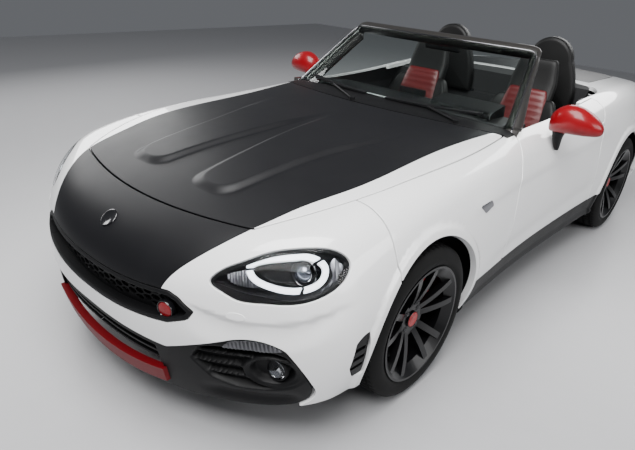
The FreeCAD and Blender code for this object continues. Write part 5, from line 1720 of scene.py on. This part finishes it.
# Middle lines of the seat's pads and of its red inserts, as points y, z
SEAT_BASE = ((-112, 352), (-60, 366), (120, 345), (330, 318))
SEAT_BACK = ((395, 330), (430, 440), (520, 680), (590, 850))
SEAT_HEAD = ((572, 810), (618, 925), (650, 1070))
INSERT_BASE = ((-86, 392), (60, 402), (310, 362))
INSERT_BACK = ((386, 412), (414, 500), (492, 712), (546, 852), (566, 906))
for side, sign in SIDES:
    shift = np.array((sign * SEAT_X, 0, 0))
    base = pad(SEAT_BASE, ((0, 212), (0.3, 232), (1, 226)), ((0, 90), (0.4, 104), (1, 96)), bolster=34)
    back = pad(
        SEAT_BACK, ((0, 216), (0.3, 234), (0.75, 224), (1, 170)), ((0, 90), (1, 86)), bolster=42, rows=80
    )
    head = pad(SEAT_HEAD, ((0, 140), (0.5, 138), (1, 112)), ((0, 80), (1, 66)), bolster=12)
    o = piece(
        "seat_pads_" + side, "car", [base, back, head], [LEATHER], sharp=60, replaces=("seat_" + side,),
    )
    o.location = Vector(shift * MM)
    seat_red = pad(INSERT_BASE, ((0, 132), (1, 138)), ((0, 50), (1, 50)), ribs=9, rib=3)
    back_red = pad(INSERT_BACK, ((0, 136), (0.7, 140), (1, 118)), ((0, 52), (1, 46)), ribs=14, rib=3)
    o = piece("seat_inserts_" + side, "car", [seat_red, back_red], [RED_LEATHER], sharp=60)
    o.location = Vector(shift * MM)

# Outline of the left roll hoop's cover seen from ahead, and its rings across: share of the outline, y
HOOP = ((160, 762), (530, 762), (476, 1060, 518, 930), (214, 1060, 345, 1180), (160, 762, 173, 930))
HOOP_RINGS = (
    (0.02, 824), (0.9, 824), (0.97, 828), (1.0, 840), (1.0, 884), (0.97, 893), (0.9, 897), (0.02, 897)
)
hoop_line = np.insert(outline(HOOP, soft=4, step=9), 1, 0.0, axis=1)
points, faces = nested(hoop_line, HOOP_RINGS)
piece("hoop_covers", "car", [(points, faces[:, ::-1])], [LEATHER], sharp=50, double=True)

# Cabin


def dial(place, radius, way):
    """A round gauge or vent: a raised ring about a sunk face."""
    ring = lathe(
        [(-8, radius), (2, radius), (4, radius - 2), (3, radius - 5), (-3, radius - 6)], place, way, 36
    )
    face = lathe([(-3, radius - 6), (-3.5, 0)], place, way, 36)
    return ring, face


# Vents and their vanes: x, z and radius on the dash's face
VENTS = ((588, 790, 40), (-588, 790, 40), (60, 806, 36), (-60, 806, 36))
DASH_FACE_Y = -94.0
# Gauges: x and radius
GAUGES = ((362, 50), (268, 34), (456, 34))
GAUGE_Z = 874
# Each fitting with the number of its finish
fittings = []
for x, z, radius in VENTS:
    ring, face = dial((x, DASH_FACE_Y, z), radius, (0, 1, 0))
    vane = block((x - radius + 8, DASH_FACE_Y - 2, z - 2), (x + radius - 8, DASH_FACE_Y + 3, z + 2), 1.0)
    upright = block(
        (x - 2, DASH_FACE_Y - 2, z - radius + 8), (x + 2, DASH_FACE_Y + 3, z + radius - 8), 1.0
    )
    fittings += [(ring, 1), (face, 0), (vane, 2), (upright, 2)]
for x, radius in GAUGES:
    ring, face = dial((x, -102, GAUGE_Z), radius, (0, 0.97, 0.24))
    needle = block((x - 1.2, -105, GAUGE_Z), (x + 1.2, -103.5, GAUGE_Z + radius * 0.72), 0.5)
    fittings += [(ring, 1), (face, 0), (needle, 3)]
screen = block((-84, -128, 846), (84, -116, 914), 5)
display = block((-78, -117, 852), (78, -114.5, 908), 1.0)
fittings += [(screen, 2), (display, 4)]
for x in (-70, 0, 70):
    knob = lathe([(0, 20), (14, 18), (17, 15), (17.5, 0)], (x, -94, 705), (0, 0.9, 0.42), 30)
    fittings.append((knob, 1))
fittings.append((block((-560, -97, 640), (-240, -89, 742), 6), 2))
parts, pick = zip(*fittings)
piece("dash_fittings", "car", parts, [SEAL, CHROME_DARK, DASH, RED, SCREEN_BLACK], pick=pick)
tilt = math.radians(COLUMN_TILT)
wheel_way = (0, math.cos(tilt), math.sin(tilt))
wheel_up = np.array((0, -math.sin(tilt), math.cos(tilt)))
centre = np.array(WHEEL_CENTRE)


def on_wheel(side, up, out):
    """A point by its place on the steering wheel: across, up its face and out from it."""
    return centre + np.array((side, 0, 0)) + wheel_up * up + np.array(wheel_way) * out


def wheel_pad():
    """The padded centre of the steering wheel: a rounded triangle that swells towards the driver."""
    corners = [(-62, 34), (0, 52), (62, 34), (46, -40), (0, -60), (-46, -40)]
    line = smooth_line([(a, b, 0) for a, b in corners], 6, closed=True)[:, :2]
    rings = []
    for k, out in ((0.98, 6), (1.0, 14), (0.96, 22), (0.82, 28), (0.5, 32), (0.02, 33)):
        rings.append(np.array([on_wheel(a * k, b * k, out) for a, b in line]))
    return np.concatenate(rings), grid_faces(len(rings), len(line), True)


badge = lathe([(30, 17), (35, 17), (36, 15), (36, 0)], on_wheel(0, 0, 0), wheel_way, 30)
RIM_RADIUS = 180
grips = []
for start, end in ((150, 214), (-34, 30)):
    angle = np.radians(np.linspace(start, end, 14))
    line = [on_wheel(RIM_RADIUS * math.cos(t), RIM_RADIUS * math.sin(t), 0) for t in angle]
    grips.append(tube(line, [14] + [17] * 12 + [14], 14))
line = [
    on_wheel(RIM_RADIUS * math.sin(t), RIM_RADIUS * math.cos(t), 0) for t in np.radians((-4, -2, 0, 2, 4))
]
mark = tube(line, 15.8, 16)
key_rows = ((0, 15), (5, 14), (6, 12), (6, 0))
keys = [lathe(key_rows, on_wheel(side, 8, 2), wheel_way, 24) for side in (-92, 92)]
piece(
    "steering_wheel_pad", "steering_wheel", [wheel_pad(), badge] + grips + [mark] + keys,
    [LEATHER, CHROME_DARK, RED_LEATHER, PLASTIC], pick=(0, 1, 0, 0, 2, 3, 3),
)
boot = lathe([(0, 46), (10, 42), (30, 26), (52, 15), (60, 12)], (0, -4, 486), (0, -0.1, 1), 30)
knob = lathe([(0, 14), (8, 20), (24, 26), (36, 24), (44, 15), (47, 0)], (0, -17, 566), (0, -0.15, 1), 30)
brake = tube([(76, 250, 500), (76, 150, 530), (76, 40, 548), (76, 0, 545)], [13, 14, 15, 12], 14)
rest = block((-70, 300, 492), (70, 560, 528), 12)
piece(
    "console_fittings", "car", [boot, knob, brake, rest], [LEATHER, CHROME_DARK, LEATHER],
    pick=(0, 1, 0, 0), sharp=50,
)

# Rear

PLATE_HALF = (260, 56)
PLATE_Z = 526


def plate_zone(p):
    """Boundary function of the blank rear plate."""
    inside = np.minimum(PLATE_HALF[0] - p[:, 0], PLATE_HALF[1] - np.abs(p[:, 2] - PLATE_Z))
    return inside - FAR * (p[:, 1] < 0)


panel("rear_plate", "car", [plate_zone], [PLATE_WHITE], depth=3, sink=-3, size=9)


def rear_ring(p):
    """Boundary function of the light ring in the tail lamp."""
    return 7 - np.abs(TAIL_LAMP_ZONE(p) - 13)


panel(
    "tail_lamp_bowls", "car", [within(TAIL_LAMP_ZONE, -2)], [LAMP_BLACK], depth=1,
    replaces=("tail_lamps",), sink=lambda p: 12 + 14 * rise(TAIL_LAMP_ZONE(p), 4, 22),
    focus=((TAIL_LAMP_ZONE, 8),), edge=0.5,
)
panel("tail_lamp_rings", "car", [rear_ring], [TAIL_LENS], depth=8, sink=8, size=4, edge=1.5)
panel(
    "tail_lamp_centres", "car", [within(TAIL_LAMP_ZONE, 27)], [LAMP_SILVER], depth=5,
    sink=lambda p: 14 + facets(p, 16, 5), size=4, focus=((TAIL_LAMP_ZONE, 5),), edge=1.5,
)
panel(
    "tail_lamp_covers", "car", [within(TAIL_LAMP_ZONE, 2)], [RED_LENS], depth=3, inner=3,
    sink=0.5, edge=1.0,
)

# Studio


def look(position, azimuth, elevation, roll):
    """Camera axes from azimuth, elevation and roll in degrees."""
    az, el, ro = (math.radians(v) for v in (azimuth, elevation, roll))
    forward = Vector((-math.sin(az) * math.cos(el), math.cos(az) * math.cos(el), -math.sin(el)))
    right = forward.cross(Vector((0, 0, 1))).normalized()
    up = right.cross(forward)
    turned = right * math.cos(ro) + up * math.sin(ro)
    upright = up * math.cos(ro) - right * math.sin(ro)
    m = Matrix((turned, upright, -forward)).transposed().to_4x4()
    m.translation = Vector(position)
    return m


CAMERA_PLACE = (1.6656, -2.765, 1.5031)
CAMERA_ANGLES = (40.787, 25.168, 3.952)
LENS_MM = 31.727
SENSOR_MM = 36
camera = bpy.data.objects.new("camera", bpy.data.cameras.new("camera"))
camera.data.lens = LENS_MM
camera.data.sensor_width = SENSOR_MM
camera.data.clip_start = 0.05
camera.matrix_world = look(CAMERA_PLACE, *CAMERA_ANGLES)
bpy.context.scene.collection.objects.link(camera)
bpy.context.scene.camera = camera

FLOOR = material("studio_floor", (0.42, 0.42, 0.43), 0.35, vary=0.03)
FLOOR_HALF = 9000.0
corners = np.array(((-1, -1, 0), (1, -1, 0), (1, 1, 0), (-1, 1, 0))) * FLOOR_HALF
floor = make_object("floor", corners, [(0, 1, 2, 3)], [FLOOR])

# Lights. Columns: name, place, aim, width, height, power
LIGHTS = (
    ("key", (1.5, -3.5, 4.2), (0, -0.6, 0.5), 3.0, 2.0, 290),
    ("top", (0.5, -1.7, 4.5), (0, -0.5, 0.6), 3.0, 1.8, 230),
    ("left", (5.0, 0.4, 2.2), (0, 0, 0.6), 4.0, 1.6, 120),
    ("right", (-5.0, -0.5, 2.6), (0, 0, 0.6), 4.0, 1.6, 120),
    ("back", (0.5, 5.0, 3.0), (0, 0.5, 0.7), 4.0, 1.4, 130),
)
for name, place, aim, width, height, power in LIGHTS:
    lamp = bpy.data.lights.new(name, "AREA")
    lamp.shape = "RECTANGLE"
    lamp.size, lamp.size_y = width, height
    lamp.energy = power
    o = bpy.data.objects.new(name, lamp)
    o.location = place
    o.rotation_euler = (Vector(aim) - Vector(place)).to_track_quat("-Z", "Y").to_euler()
    bpy.context.scene.collection.objects.link(o)

world = bpy.data.worlds.new("studio")
bpy.context.scene.world = world
world.use_nodes = True
background = world.node_tree.nodes["Background"]
background.inputs["Color"].default_value = (0.24, 0.25, 0.27, 1)
background.inputs["Strength"].default_value = 0.55
